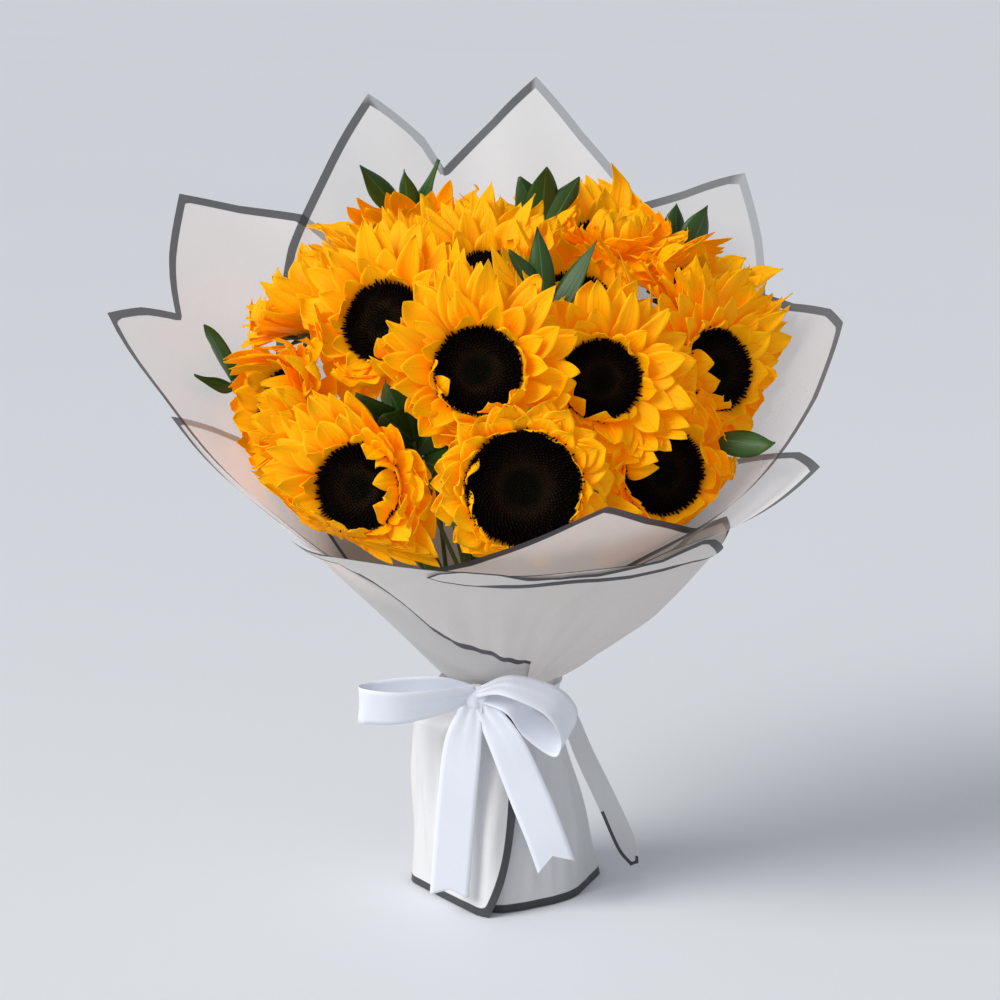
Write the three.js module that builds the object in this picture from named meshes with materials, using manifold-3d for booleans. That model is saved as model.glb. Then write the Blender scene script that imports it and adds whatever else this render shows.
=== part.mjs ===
// A hand-tied bunch of sunflowers with leafy greens, in layers of frosted wrapping film with a
// grey printed border, tied at the waist with a white ribbon. It stands on its cut stem ends and
// on the hem of the wrap's skirt. Millimetres, +Z up. The front faces -Y, and an azimuth is
// measured from the front towards +X.
import * as THREE from 'three';
import { mergeVertices } from 'three/addons/utils/BufferGeometryUtils.js';
import Module from 'manifold-3d';

const wasm = await Module();
wasm.setup();

// ---- Driving dimensions ----
const CENTRE_SHIFT = [17, -5];     // puts the origin under the middle of the spread wrap
const WAIST_Z = 155;                // where the ribbon ties the bunch
const WAIST_R = 42;
const FILM = 0.8;                   // wall of one film sheet
const TAIL_FILM = 1;
const FILM_LAYERS = 6;              // layers inside the outermost sheet
const STEM_R = 3.5;
const SPRAY_R = 2;
const STEM_SPACING = 8.2;
const STEM_BUNDLE_R = 17;           // furthest stem centre at the tie
const STEM_SPLAY = 1.45;            // how much wider the bundle is at the cut ends
const CELL_GAP = 1.4;               // what each flower keeps clear of the face it shares
const FACE_SOFTNESS = 5;            // a petal starts to give way this far from such a face
const PETAL_LENGTH = 47;
const PETAL_WIDTH = 18;
const PETAL_THICK = 1.3;
const PETALS_PER_ROW = 11;
const LEAF_WIDTH = 27;
const LEAF_BREADTH = 0.52;          // of its length, on a short leaf
const LEAF_THICK = 1.3;
const LEAF_SPACING = 5;             // between the leaves of a group, along their twig
const ROW_GAP = 2.6;                // what the second row of petals keeps inside the first
const RIBBON_THICK = 1.2;
const DEG = Math.PI / 180;
const FACE_LEAN = 36 * DEG;         // lean of the face shared by two flowers

// Flowers: centre of the disc's rim, the azimuth and elevation it faces, and the disc's radius. The
// large one in front has short petals.
const FLOWERS = [
  { name: 'sunflower_01', at: [-14, -120, 388], facing: [-3, 12], disc: 28 },
  { name: 'sunflower_02', at: [-77, -70, 413], facing: [-25, 25], disc: 27 },
  { name: 'sunflower_03', at: [66, -95, 378], facing: [8, 12], disc: 26 },
  { name: 'sunflower_04', at: [147, -30, 375], facing: [38, 12], disc: 27 },
  { name: 'sunflower_05', at: [-147, -45, 350], facing: [-60, 14], disc: 26 },
  { name: 'sunflower_06', at: [-92, -115, 310], facing: [-18, 8], disc: 28 },
  { name: 'sunflower_07', at: [15, -142.5, 315], facing: [3, 3], disc: 37, petals: 0.56 },
  { name: 'sunflower_08', at: [108, -86, 315], facing: [22, 6], disc: 28 },
  { name: 'sunflower_09', at: [-11, -52, 439], facing: [-5, 58], disc: 25 },
  { name: 'sunflower_10', at: [50, -35, 423], facing: [12, 58], disc: 24 },
  { name: 'sunflower_11', at: [-125, 0, 413], facing: [-62, 64], disc: 25 },
  { name: 'sunflower_12', at: [-64, 25, 449], facing: [-32, 72], disc: 25 },
  { name: 'sunflower_13', at: [135, 12, 421], facing: [52, 58], disc: 25 },
  { name: 'sunflower_14', at: [78, 45, 455], facing: [35, 74], disc: 25 },
  { name: 'sunflower_15', at: [2, 92, 442], facing: [180, 68], disc: 26 },
];

// Leaf groups: a spray is one branched stem with groups of leaves. Each leaf goes from its
// group's root to its tip.
const SPRAYS = [
  { name: 'greens_left', waist: [-12, 8], fork: [-38, 16, 215], groups: [
    { way: [[-59, 66, 400]], root: [-67, 69, 468],
      tips: [[-98, 50, 507], [-62, 56, 506], [-47, 52, 511]] },
    { way: [[-118, 8, 290]], root: [-186, 4, 362],
      tips: [[-197, -12, 408], [-215, -24, 360], [-200, 14, 392]] },
  ] },
  { name: 'greens_back', waist: [6, 12], fork: [14, 27, 208], groups: [
    { way: [[20, 40, 400]], root: [30, 42, 462],
      tips: [[14, 40, 500], [30, 40, 511], [54, 32, 500]] },
    { way: [[60, 48, 270], [104, 62, 370]], root: [132, 79, 438],
      tips: [[150, 78, 475], [118, 92, 474]] },
  ] },
  { name: 'greens_middle', waist: [8, -8], fork: [26, -20, 220], groups: [
    { way: [[27, -70, 345]], root: [30, -72, 420],
      tips: [[6, -84, 463], [27, -84, 476], [68, -78, 466]] },
    { way: [[50, -44, 252], [113, -61, 293]], root: [140, -64, 334],
      tips: [[184, -92, 333]] },
  ] },
  { name: 'greens_front', waist: [-8, -12], fork: [-26, -42, 235], groups: [
    { way: [[-50, -74, 300]], root: [-57, -88, 336],
      tips: [[-82, -114, 362], [-76, -104, 384], [-33, -120, 366],
        [-36, -130, 326], [-40, -136, 298], [-98, -108, 376]] },
  ] },
];
const LEAF_GROUP_REACH = 17;        // how much room a leaf group takes beside a flower

// Film sheets. A sheet's edge is a list of [azimuth, distance up the slope from the waist];
// layer 0 is the innermost. The corners of the square sheets are the peaks. A sheet with a foot
// edge hangs free there, a tilted one turns outwards, and a loose one stands off on its right.
const FOOT_OF_SHEET = -10;
const SHEETS = [
  { name: 'wrap_sheet_back', layer: 2.65, top: [
    [100, 80], [111, 150], [120, 215], [145, 346], [160, 391], [172, 433], [182, 399], [194, 364],
    [198, 388], [209, 425], [221, 376], [234, 323], [250, 245], [270, 160], [288, 80]] },
  { name: 'wrap_sheet_left', layer: 3.85, top: [
    [-170, 80], [-150, 250], [-132, 344], [-121, 364], [-111, 386], [-103, 350], [-95, 312], [-88, 330],
    [-80, 345], [-71, 288], [-60, 228], [-48, 178], [-32, 120], [-12, 50]] },
  { name: 'wrap_sheet_right', layer: 1.25, top: [
    [18, 60], [35, 130], [50, 180], [62, 230], [72, 275], [86, 316], [92, 317], [101, 306], [109, 303],
    [116, 340], [125, 382], [136, 359], [147, 339], [166, 255], [190, 110]] },
  { name: 'wrap_sheet_left_front', layer: 5.05, top: [
    [-124, 80], [-100, 178], [-82, 236], [-68, 276], [-59, 234], [-49, 190], [-38, 160], [-24, 130],
    [-8, 115], [12, 100], [22, 70]] },
  { name: 'wrap_sheet_right_front', layer: 4.6, tilt: 5, bend: 172, top: [
    [27, 90], [36, 150], [47, 182], [57, 215], [67, 250], [76, 236], [88, 200], [104, 140], [122, 70]] },
  { name: 'wrap_sheet_inner_front', layer: 0, top: [
    [-42, 112], [-24, 140], [-8, 157], [0, 172], [11, 193], [21, 213], [34, 193], [57, 168], [66, 140],
    [76, 100]] },
  { name: 'wrap_sheet_cuff', layer: 6.3, loose: 5, top: [
    [-56, 172], [-38, 179], [-26, 178], [-19, 177], [-9, 172], [0, 167], [11, 163], [17, 162], [22, 163],
    [25, 164], [36, 168], [60, 168], [68, 172], [76, 168], [88, 140], [104, 82], [112, 60]],
  foot: [
    [-56, 168], [-38, 168], [-26, 121], [-19, 77], [-9, 60], [11, 39], [17, 36], [22, 2],
    [25, FOOT_OF_SHEET], [112, FOOT_OF_SHEET]] },
];

// The bow's strips, from the knot: their points, the way that the ribbon's width points, and its
// width at each point.
const KNOT_AT = [-17, -50, 150];
const KNOT_SIZE = [11, 9, 9.5];
const BOW = [
  { across: [0.05, -0.3, 0.95], widths: [10, 20, 25, 27, 27, 27, 24, 18, 8], points: [
    [-17, -54, 154], [-40, -68, 152], [-68, -77, 150], [-90, -73, 150], [-96, -64, 150], [-88, -55, 151],
    [-64, -53, 155], [-40, -54, 158], [-17, -50, 155]] },
  { across: [0.42, 0.72, 0.55], widths: [8, 18, 24, 27, 27, 26, 24, 18, 8], points: [
    [-16, -54, 155], [4, -76, 166], [33, -80, 157], [45, -76, 143], [47, -68, 130], [41, -60, 121],
    [21, -57, 134], [8, -62, 149], [-14, -51, 151]] },
  { across: [1, -0.05, -0.2], widths: [12, 25, 27, 27, 27], points: [
    [-18, -54, 150], [-25, -64, 124], [-29, -69, 88], [-32, -72, 52], [-35, -73, 15]] },
  { across: [0.92, 0.1, 0.4], widths: [12, 23, 27, 27, 27], points: [
    [-15, -54, 150], [3, -65, 124], [19, -69, 88], [31, -71, 58], [39, -71, 35]] },
];

// The long film corner that comes out below the ribbon and hangs to the surface.
const TAIL = { across: [0.9, -0.1, 0.42], widths: [8, 12, 14, 15, 15, 6], points: [
  [41, 12, 137], [50, 13, 118], [60, 14, 92], [77, 17, 55], [91, 20, 22], [97, 21, 7]] };

// ---- Small vector and number helpers ----
const vec = (x, y, z) => new THREE.Vector3(x, y, z);
const at = (list) => new THREE.Vector3(...list);
const clamp = THREE.MathUtils.clamp;
const lerp = THREE.MathUtils.lerp;
const smoothstep = THREE.MathUtils.smoothstep;
const UPWARDS = vec(0, 0, 1);
const outwards = (azimuth) => vec(Math.sin(azimuth), -Math.cos(azimuth), 0);

function seeded(seed) {
  let state = seed;
  return () => {
    state = (state * 1664525 + 1013904223) >>> 0;
    return state / 4294967296;
  };
}

// The height of a polyline [[x, y], ...] at x.
function along(line, x) {
  const last = line.length - 1;
  if (x <= line[0][0]) return line[0][1];
  if (x >= line[last][0]) return line[last][1];
  const i = line.findIndex((point) => point[0] > x) - 1;
  return lerp(line[i][1], line[i + 1][1], (x - line[i][0]) / (line[i + 1][0] - line[i][0]));
}

// ---- Solids ----
// Points closer than this become one point.
const WELD = 1e-3;

function solidOf(geometry) {
  const bare = geometry.index ? geometry : geometry.clone();
  for (const name of ['normal', 'uv']) bare.deleteAttribute(name);
  const merged = mergeVertices(bare, WELD);
  const corners = [];
  for (let t = 0; t < merged.index.count; t += 3) {
    const [a, b, c] = [0, 1, 2].map((k) => merged.index.getX(t + k));
    if (a !== b && b !== c && c !== a) corners.push(a, b, c);
  }
  return new wasm.Manifold(new wasm.Mesh({
    numProp: 3,
    vertProperties: new Float32Array(merged.attributes.position.array),
    triVerts: new Uint32Array(corners),
  }));
}

function geometryOf(solid) {
  const mesh = solid.getMesh();
  const geometry = new THREE.BufferGeometry();
  geometry.setAttribute('position', new THREE.BufferAttribute(mesh.vertProperties.slice(), 3));
  geometry.setIndex(new THREE.BufferAttribute(mesh.triVerts.slice(), 1));
  return geometry;
}

function volumeOf(solid) {
  const mesh = solid.getMesh();
  const corner = (i) => vec(...mesh.vertProperties.slice(3 * i, 3 * i + 3));
  let sum = 0;
  for (let t = 0; t < mesh.triVerts.length; t += 3) {
    const [a, b, c] = [0, 1, 2].map((k) => corner(mesh.triVerts[t + k]));
    sum += a.dot(b.cross(c)) / 6;
  }
  return sum;
}

function largestBody(solid) {
  const bodies = solid.decompose();
  bodies.sort((a, b) => volumeOf(b) - volumeOf(a));
  return bodies[0];
}

// Joins pieces into one body: loose scraps are dropped and sealed hollows are filled. The body is
// welded and parted once more, because a weld can pinch a scrap off it.
function fuse(geometries) {
  let solids = geometries.map(solidOf);
  while (solids.length > 1) {
    const joined = [];
    for (let i = 0; i + 1 < solids.length; i += 2) joined.push(solids[i].add(solids[i + 1]));
    if (solids.length % 2) joined.push(solids[solids.length - 1]);
    solids = joined;
  }
  return geometryOf(largestBody(solidOf(geometryOf(largestBody(solids[0])))));
}

function skinOf(points, faces) {
  const geometry = new THREE.BufferGeometry();
  const positions = points.flatMap((point) => point.toArray());
  geometry.setAttribute('position', new THREE.Float32BufferAttribute(positions, 3));
  geometry.setIndex(faces);
  return geometry;
}

// The faces between two rings of point numbers. A side in otherWay has its diagonal from the second
// corner back to the first, so that the two faces of a thin blade are split alike.
function facesBetween(from, to, otherWay = []) {
  return from.flatMap((a, k) => {
    const next = (k + 1) % from.length;
    const b = from[next];
    if (to.length === 1) return [[a, b, to[0]]];
    if (otherWay.includes(k)) return [[a, b, to[k]], [b, to[next], to[k]]];
    return [[a, b, to[next]], [a, to[next], to[k]]];
  });
}
const BLADE_SIDES = [0, 2];
const BAND_SIDES = [2];

// A closed skin through rings of points, each ring with as many points as the last. A ring of
// one point is a tip.
function loft(rings, otherWay) {
  let count = 0;
  const numbers = rings.map((ring) => ring.map(() => (count += 1) - 1));
  const faces = numbers.slice(1).flatMap((ring, r) => facesBetween(numbers[r], ring, otherWay));
  const start = numbers[0];
  const end = numbers[numbers.length - 1];
  for (let k = 1; k < start.length - 1; k += 1) faces.push([start[0], start[k + 1], start[k]]);
  for (let k = 1; k < end.length - 1; k += 1) faces.push([end[0], end[k], end[k + 1]]);
  return skinOf(rings.flat(), faces.flat());
}

// A round stem through points, cut square at both ends.
function tube(points, radius, sides, steps) {
  const outline = new THREE.Shape();
  for (let k = 0; k < sides; k += 1) {
    const turn = (2 * Math.PI * k) / sides;
    const [x, y] = [radius * Math.cos(turn), radius * Math.sin(turn)];
    if (k) outline.lineTo(x, y);
    else outline.moveTo(x, y);
  }
  const path = new THREE.CatmullRomCurve3(points, false, 'centripetal');
  return new THREE.ExtrudeGeometry(outline, { steps, bevelEnabled: false, extrudePath: path });
}

// ---- The wrap's shape ----
// The slope of the flare in degrees from upright: wide open in front, steep behind, and swollen at
// the front right.
const FLARE = { mean: 36.7, front: 14.3, square: -1.6, right: -0.9, twist: -1.1 };
const SWELL = { size: 4.5, azimuth: 55, spread: 22 };
function flareAt(azimuth) {
  const lengthways = FLARE.front * Math.cos(azimuth) + FLARE.square * Math.cos(2 * azimuth);
  const sideways = FLARE.right * Math.sin(azimuth) + FLARE.twist * Math.sin(2 * azimuth);
  const degrees = Math.atan2(Math.sin(azimuth), Math.cos(azimuth)) / DEG;
  const swell = SWELL.size * Math.exp(-(((degrees - SWELL.azimuth) / SWELL.spread) ** 2));
  return (FLARE.mean + lengthways + sideways + swell) * DEG;
}

// The film's neck at the tie: it bends from upright into the slope over these heights.
const NECK = { top: 6, height: 16, narrower: 5 };
const TILT = { from: 170, over: 90 };       // where a tilted sheet turns outwards, up the slope

// A point of the wrap at a distance up the slope, inset from the outermost layer.
function wrapPoint(azimuth, up, inset, tilt = 0) {
  const flare = flareAt(azimuth) + tilt * DEG * clamp((up - TILT.from) / TILT.over, 0, 1);
  const neck = clamp((NECK.top - up) / NECK.height, 0, 1);
  const radius = WAIST_R + up * Math.sin(flare) * (1 - neck) - NECK.narrower * neck;
  const height = WAIST_Z + up * lerp(Math.cos(flare), 1, neck);
  const normal = outwards(azimuth).multiplyScalar(lerp(Math.cos(flare), 1, neck));
  normal.z = -Math.sin(flare) * (1 - neck);
  const point = outwards(azimuth).multiplyScalar(radius);
  point.z = height;
  return point.addScaledVector(normal.normalize(), -inset);
}

// The layers lie close together at the tie and further apart above it.
const LAYER_GAP = { atTie: 1.3, above: 2.4, over: 80 };
const layerInset = (layer, up) => (FILM_LAYERS - layer)
  * lerp(LAYER_GAP.atTie, LAYER_GAP.above, clamp(up / LAYER_GAP.over, 0, 1));

// How far out a loose sheet stands, as a share: nothing at its left and near the tie.
const LOOSE = { left: 10, right: 50, from: 40, over: 60 };
const looseAt = (degrees, up) => smoothstep(degrees, LOOSE.left, LOOSE.right)
  * clamp((up - LOOSE.from) / LOOSE.over, 0, 1);

// A closed sheet from a grid of [outer point, inner point] columns.
function sheetSolid(columns) {
  const rows = columns[0].length;
  const id = (i, j, side) => 2 * (i * rows + j) + side;
  const faces = [];
  const quad = (a, b, c, d) => faces.push(a, b, c, a, c, d);
  for (let i = 0; i + 1 < columns.length; i += 1) {
    for (let j = 0; j + 1 < rows; j += 1) {
      quad(id(i, j, 0), id(i + 1, j, 0), id(i + 1, j + 1, 0), id(i, j + 1, 0));
      faces.push(id(i, j, 1), id(i + 1, j + 1, 1), id(i + 1, j, 1));
      faces.push(id(i, j, 1), id(i, j + 1, 1), id(i + 1, j + 1, 1));
    }
    quad(id(i, 0, 1), id(i + 1, 0, 1), id(i + 1, 0, 0), id(i, 0, 0));
    quad(id(i, rows - 1, 0), id(i + 1, rows - 1, 0), id(i + 1, rows - 1, 1), id(i, rows - 1, 1));
  }
  const end = columns.length - 1;
  for (let j = 0; j + 1 < rows; j += 1) {
    quad(id(0, j, 1), id(0, j, 0), id(0, j + 1, 0), id(0, j + 1, 1));
    quad(id(end, j, 0), id(end, j, 1), id(end, j + 1, 1), id(end, j + 1, 0));
  }
  return skinOf(columns.flat(2), faces);
}

// The azimuths of a sheet's columns: the corners of its edge, and steps that all sheets share.
function columnsOf(edge) {
  const azimuths = edge.map((corner) => corner[0]);
  const first = Math.ceil(azimuths[0] / COLUMN_STEP) * COLUMN_STEP;
  for (let degrees = first; degrees < azimuths[edge.length - 1]; degrees += COLUMN_STEP) {
    if (azimuths.every((other) => Math.abs(other - degrees) > LEAST_COLUMN_GAP)) azimuths.push(degrees);
  }
  return azimuths.sort((a, b) => a - b);
}

const WAIST_ROWS = [-10, 0, 8];     // rows that all sheets share, round the waist's bend
const FIRST_ROW = 30;               // and the first of the rows above them
const LEAST_ROW_GAP = 8;
const COLUMN_STEP = 15;
const LEAST_COLUMN_GAP = 4;

// The heights up the slope of one column's points, from its foot to its edge. A sheet that turns
// outwards above a bend has its middle row there.
function rowsOf(low, edge, bend) {
  const first = Math.min(Math.max(FIRST_ROW, low + 2 * LEAST_ROW_GAP), lerp(low, edge, 0.5));
  const atWaist = WAIST_ROWS.map((up, k) => (low > WAIST_ROWS[0] ? lerp(low, first, k / 3) : up));
  const middle = bend && edge > bend + LEAST_ROW_GAP ? bend : lerp(first, edge, 0.5);
  return [...atWaist, first, middle, edge];
}

function filmSheet({ layer, top, foot, tilt, bend, loose = 0 }) {
  const columns = columnsOf(top).map((degrees) => {
    const low = foot ? along(foot, degrees) : FOOT_OF_SHEET;
    return rowsOf(low, along(top, degrees), bend).map((up) => {
      const inset = layerInset(layer, up) - loose * looseAt(degrees, up);
      return [inset - FILM / 2, inset + FILM / 2].map((depth) => wrapPoint(degrees * DEG, up, depth, tilt));
    });
  });
  return sheetSolid(columns);
}

// The skirt is one sheet rolled round the stems. It is pulled in by the tie, puffs out below it,
// most on the left, and runs down to the corners of its foot. Its end laps over its start at the
// front, and sweeps back up to the right.
const SKIRT_TOP = 141;
const SKIRT_TOP_R = 35;
const SKIRT_FILM = 1.1;
const SKIRT_FOOT = [[-64, 9], [-8, -76], [14, -66], [52, -30], [74, 32], [22, 72], [-40, 52]];
const FOOT_ROUNDING = 4;            // degrees between the readings that round its corners
const SHOULDER = { radius: 47, leftwards: 11, below: 16 };
const SKIRT_FALL = 0.7;             // under 1 spreads the skirt early on its way down
const SKIRT_START = -30;            // azimuths of the two edges, at the foot
const SKIRT_END = 354;
const SKIRT_SWEEP = { turn: 20, over: 45 };
const SKIRT_LAP = 2.6;              // how far the lapping end stands off
const SKIRT_TUCK = 9;               // how far the start is tucked in at the foot
const SKIRT_COLUMNS = 21;
const SKIRT_HEIGHTS = [0, 50, 98, 125, 141];

// The distance from the axis to the side of the foot that lies that way.
function footSide(azimuth) {
  const way = outwards(azimuth);
  const distances = SKIRT_FOOT.map(([x, y], i) => {
    const [nextX, nextY] = SKIRT_FOOT[(i + 1) % SKIRT_FOOT.length];
    const normal = vec(nextY - y, x - nextX, 0).normalize();
    const facing = normal.dot(way);
    return facing > 0 ? (normal.x * x + normal.y * y) / facing : Infinity;
  });
  return Math.min(...distances);
}

function footRadius(degrees) {
  const readings = [-2, -1, 0, 1, 2].map((k) => footSide((degrees + k * FOOT_ROUNDING) * DEG));
  return readings.reduce((sum, reading) => sum + reading, 0) / readings.length;
}

// A point of the skirt at a share of the way from its start to its end.
function skirtPoint(share, height, depth) {
  const end = SKIRT_END + SKIRT_SWEEP.turn * (1 - Math.exp(-height / SKIRT_SWEEP.over));
  const degrees = lerp(SKIRT_START, end, share);
  const azimuth = degrees * DEG;
  const shoulder = SHOULDER.radius - SHOULDER.leftwards * Math.sin(azimuth);
  const puff = clamp((SKIRT_TOP - height) / SHOULDER.below, 0, 1);
  const drop = clamp(1 - height / (SKIRT_TOP - SHOULDER.below), 0, 1);
  const tuck = SKIRT_TUCK * clamp((40 - degrees) / 40, 0, 1) * drop;
  const radius = lerp(SKIRT_TOP_R, shoulder, puff) + (footRadius(degrees) - shoulder) * drop ** SKIRT_FALL;
  const point = outwards(azimuth).multiplyScalar(radius - tuck + SKIRT_LAP * share + depth);
  point.z = height;
  return point;
}

function skirt() {
  const columns = Array.from({ length: SKIRT_COLUMNS }, (_, column) => SKIRT_HEIGHTS.map((height) => {
    const share = column / (SKIRT_COLUMNS - 1);
    return [skirtPoint(share, height, SKIRT_FILM), skirtPoint(share, height, 0)];
  }));
  return sheetSolid(columns);
}

// A band of a given wall that follows points; across gives its width's direction.
function band({ points: places, across: [x, y, z], widths }, wall) {
  const points = places.map(at);
  return loft(points.map((point, i) => {
    const before = points[Math.max(i - 1, 0)];
    const after = points[Math.min(i + 1, points.length - 1)];
    const run = after.clone().sub(before).normalize();
    const across = vec(x, y, z);
    across.addScaledVector(run, -across.dot(run)).normalize();
    const face = run.clone().cross(across).normalize();
    const corner = (w, t) => point.clone().addScaledVector(across, w * widths[i] / 2)
      .addScaledVector(face, t * wall / 2);
    return [corner(-1, -1), corner(1, -1), corner(1, 1), corner(-1, 1)];
  }), BAND_SIDES);
}

// A flower's own axes: facing is its direction, across and over span its disc.
function axesOf({ facing: [azimuth, elevation] }) {
  const facing = outwards(azimuth * DEG).multiplyScalar(Math.cos(elevation * DEG));
  facing.z = Math.sin(elevation * DEG);
  const across = vec(Math.cos(azimuth * DEG), Math.sin(azimuth * DEG), 0);
  return { facing, across, over: facing.clone().cross(across) };
}

// ---- Room for each flower and leaf group ----
// Neighbours share a flat face between them. Each keeps to its own side, so nothing crosses.
const neighbours = [];
for (const flower of FLOWERS) {
  const { facing } = axesOf(flower);
  neighbours.push({ owner: flower.name, centre: at(flower.at), reach: flower.disc, facing });
}
for (const spray of SPRAYS) {
  spray.groups.forEach((group, i) => {
    const centre = at(group.root);
    for (const tip of group.tips) centre.add(at(tip));
    centre.divideScalar(group.tips.length + 1);
    neighbours.push({ owner: `${spray.name}_${i}`, centre, reach: LEAF_GROUP_REACH });
  });
}

// The inside of the wrap as flat faces that touch it, one for each azimuth step.
const WRAP_CLEARANCE = 18.2;
const wrapFaces = [];
for (let degrees = 0; degrees < 360; degrees += 10) {
  const here = (step, up) => wrapPoint((degrees + step) * DEG, up, WRAP_CLEARANCE);
  const around = here(1, 200).sub(here(-1, 200));
  const upwards = here(0, 210).sub(here(0, 190));
  const normal = around.cross(upwards).normalize();
  wrapFaces.push({ point: here(0, 200), normal });
}

// The way a point slides off a face: away from it, with some of it forward.
function slideOff(normal, front, lift) {
  const way = normal.clone().negate().addScaledVector(front, lift);
  return way.divideScalar(-way.dot(normal));
}

// The face between two neighbours. It leans, so that the petals of the one further forward lie
// over what is behind them.
const LIFT_IN_FRONT = 0.15;
const LIFT_BEHIND = 0.62;
const LIFT_AT_WRAP = 0.5;
function faceBetween(own, other) {
  const gap = other.centre.clone().sub(own.centre);
  const normal = gap.clone().normalize();
  const ways = [own.facing ?? other.facing ?? UPWARDS, other.facing ?? own.facing ?? UPWARDS];
  const front = ways[0].clone().add(ways[1]).normalize();
  const ahead = Math.sign(own.centre.dot(front) - other.centre.dot(front)) || 1;
  if (own.facing || other.facing) {
    normal.addScaledVector(front, -normal.dot(front)).normalize().multiplyScalar(Math.cos(FACE_LEAN));
    normal.addScaledVector(front, -ahead * Math.sin(FACE_LEAN));
  }
  const share = own.reach / (own.reach + other.reach);
  const point = own.centre.clone().addScaledVector(gap, share).addScaledVector(normal, -CELL_GAP);
  const way = slideOff(normal, own.facing ?? front, ahead > 0 ? LIFT_IN_FRONT : LIFT_BEHIND);
  return { point, normal, way };
}

function facesAround(owner) {
  const own = neighbours.find((entry) => entry.owner === owner);
  const front = own.facing ?? UPWARDS;
  const atWrap = wrapFaces.map((face) => ({ ...face, way: slideOff(face.normal, front, LIFT_AT_WRAP) }));
  return [...atWrap, ...neighbours.filter((other) => other !== own).map((other) => faceBetween(own, other))];
}

const LEAST_ROOM = 0.3;
const roomTo = (face, point) => face.point.clone().sub(point).dot(face.normal);

// Presses a point into its room. Points keep their order on the way, so blades that are pressed
// alike don't cross.
function keepInside(point, faces) {
  for (const face of [...faces, ...faces]) {
    const room = roomTo(face, point);
    if (room < FACE_SOFTNESS) {
      const kept = FACE_SOFTNESS ** 2 / (2 * FACE_SOFTNESS - room);
      point.addScaledVector(face.way, kept - room);
    }
  }
  for (let round = 0; round < 3; round += 1) {
    for (const face of faces) point.addScaledVector(face.way, Math.max(LEAST_ROOM - roomTo(face, point), 0));
  }
  return point;
}

// ---- Blades: petals and leaves ----
const PETAL_OUTLINE = [[0, 0.8], [0.4, 1], [0.74, 0.78], [1, 0]];   // [share of length, of width]
const LEAF_OUTLINE = [[0, 0.22], [0.4, 1], [0.76, 0.7], [1, 0]];

// The sections of a thin cupped blade from root along heading: left edge, back, right edge, front.
// Settle moves each point into the blade's room.
function bladeSections({ root, heading, side, forward, length, width, thick, cup, curl, settle, outline }) {
  const free = [root.clone()];
  const direction = heading.clone();
  const steps = outline.length - 1;
  for (let i = 1; i <= steps; i += 1) {
    const share = outline[i][0] - outline[i - 1][0];
    direction.addScaledVector(forward, curl * share).normalize();
    free.push(free[i - 1].clone().addScaledVector(direction, length * share));
  }
  const spine = free.map((point, i) => (i ? settle(point.clone()) : point));
  return free.map((point, i) => {
    if (outline[i][1] === 0) return [spine[i]];
    const run = free[Math.min(i + 1, steps)].clone().sub(free[Math.max(i - 1, 0)]);
    const half = (outline[i][1] * width) / 2;
    const raised = point.clone().addScaledVector(run.cross(side).normalize(), cup * half);
    const [left, right] = [-1, 1].map((sign) => {
      const edge = raised.clone().addScaledVector(side, sign * half);
      return i ? settle(edge) : edge;
    });
    const along = spine[Math.min(i + 1, steps)].clone().sub(spine[Math.max(i - 1, 0)]);
    const face = along.cross(right.clone().sub(left)).normalize();
    const back = spine[i].clone().addScaledVector(face, -thick / 2);
    const front = spine[i].clone().addScaledVector(face, thick / 2);
    return [left, back, right, front];
  });
}

const MEAN_DISC = 27;
// Depths behind the disc's rim.
const DISC_BACK = -3;
const RIM_DEPTHS = [-9, -7.6, -6, -3.6];    // the petals' plate: back, two steps of its rim, front
const RIM_BULGE = [0, 1.5, 1.5, 0];
const PETAL_BACK = -8.6;                    // no petal is pressed further back than this
const BRACT_DEPTH = -13;
const CALYX_FRONT = -9.6;
const CALYX_BACK = -24;

// A point given by a turn round a flower's axis, a distance from it and a depth.
function headPoint(flower, turn, radius, depth) {
  const { facing, across, over } = axesOf(flower);
  return at(flower.at).addScaledVector(across, radius * Math.cos(turn))
    .addScaledVector(over, radius * Math.sin(turn)).addScaledVector(facing, depth);
}

// Moves a petal's point off the flower's own disc and calyx.
function clearOfHead(point, flower) {
  const { facing } = axesOf(flower);
  const offset = point.clone().sub(at(flower.at));
  const depth = offset.dot(facing);
  const radial = offset.addScaledVector(facing, -depth);
  const radius = Math.max(radial.length(), flower.disc + 1.8);
  return at(flower.at).addScaledVector(radial.normalize(), radius)
    .addScaledVector(facing, Math.max(depth, PETAL_BACK));
}

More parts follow.
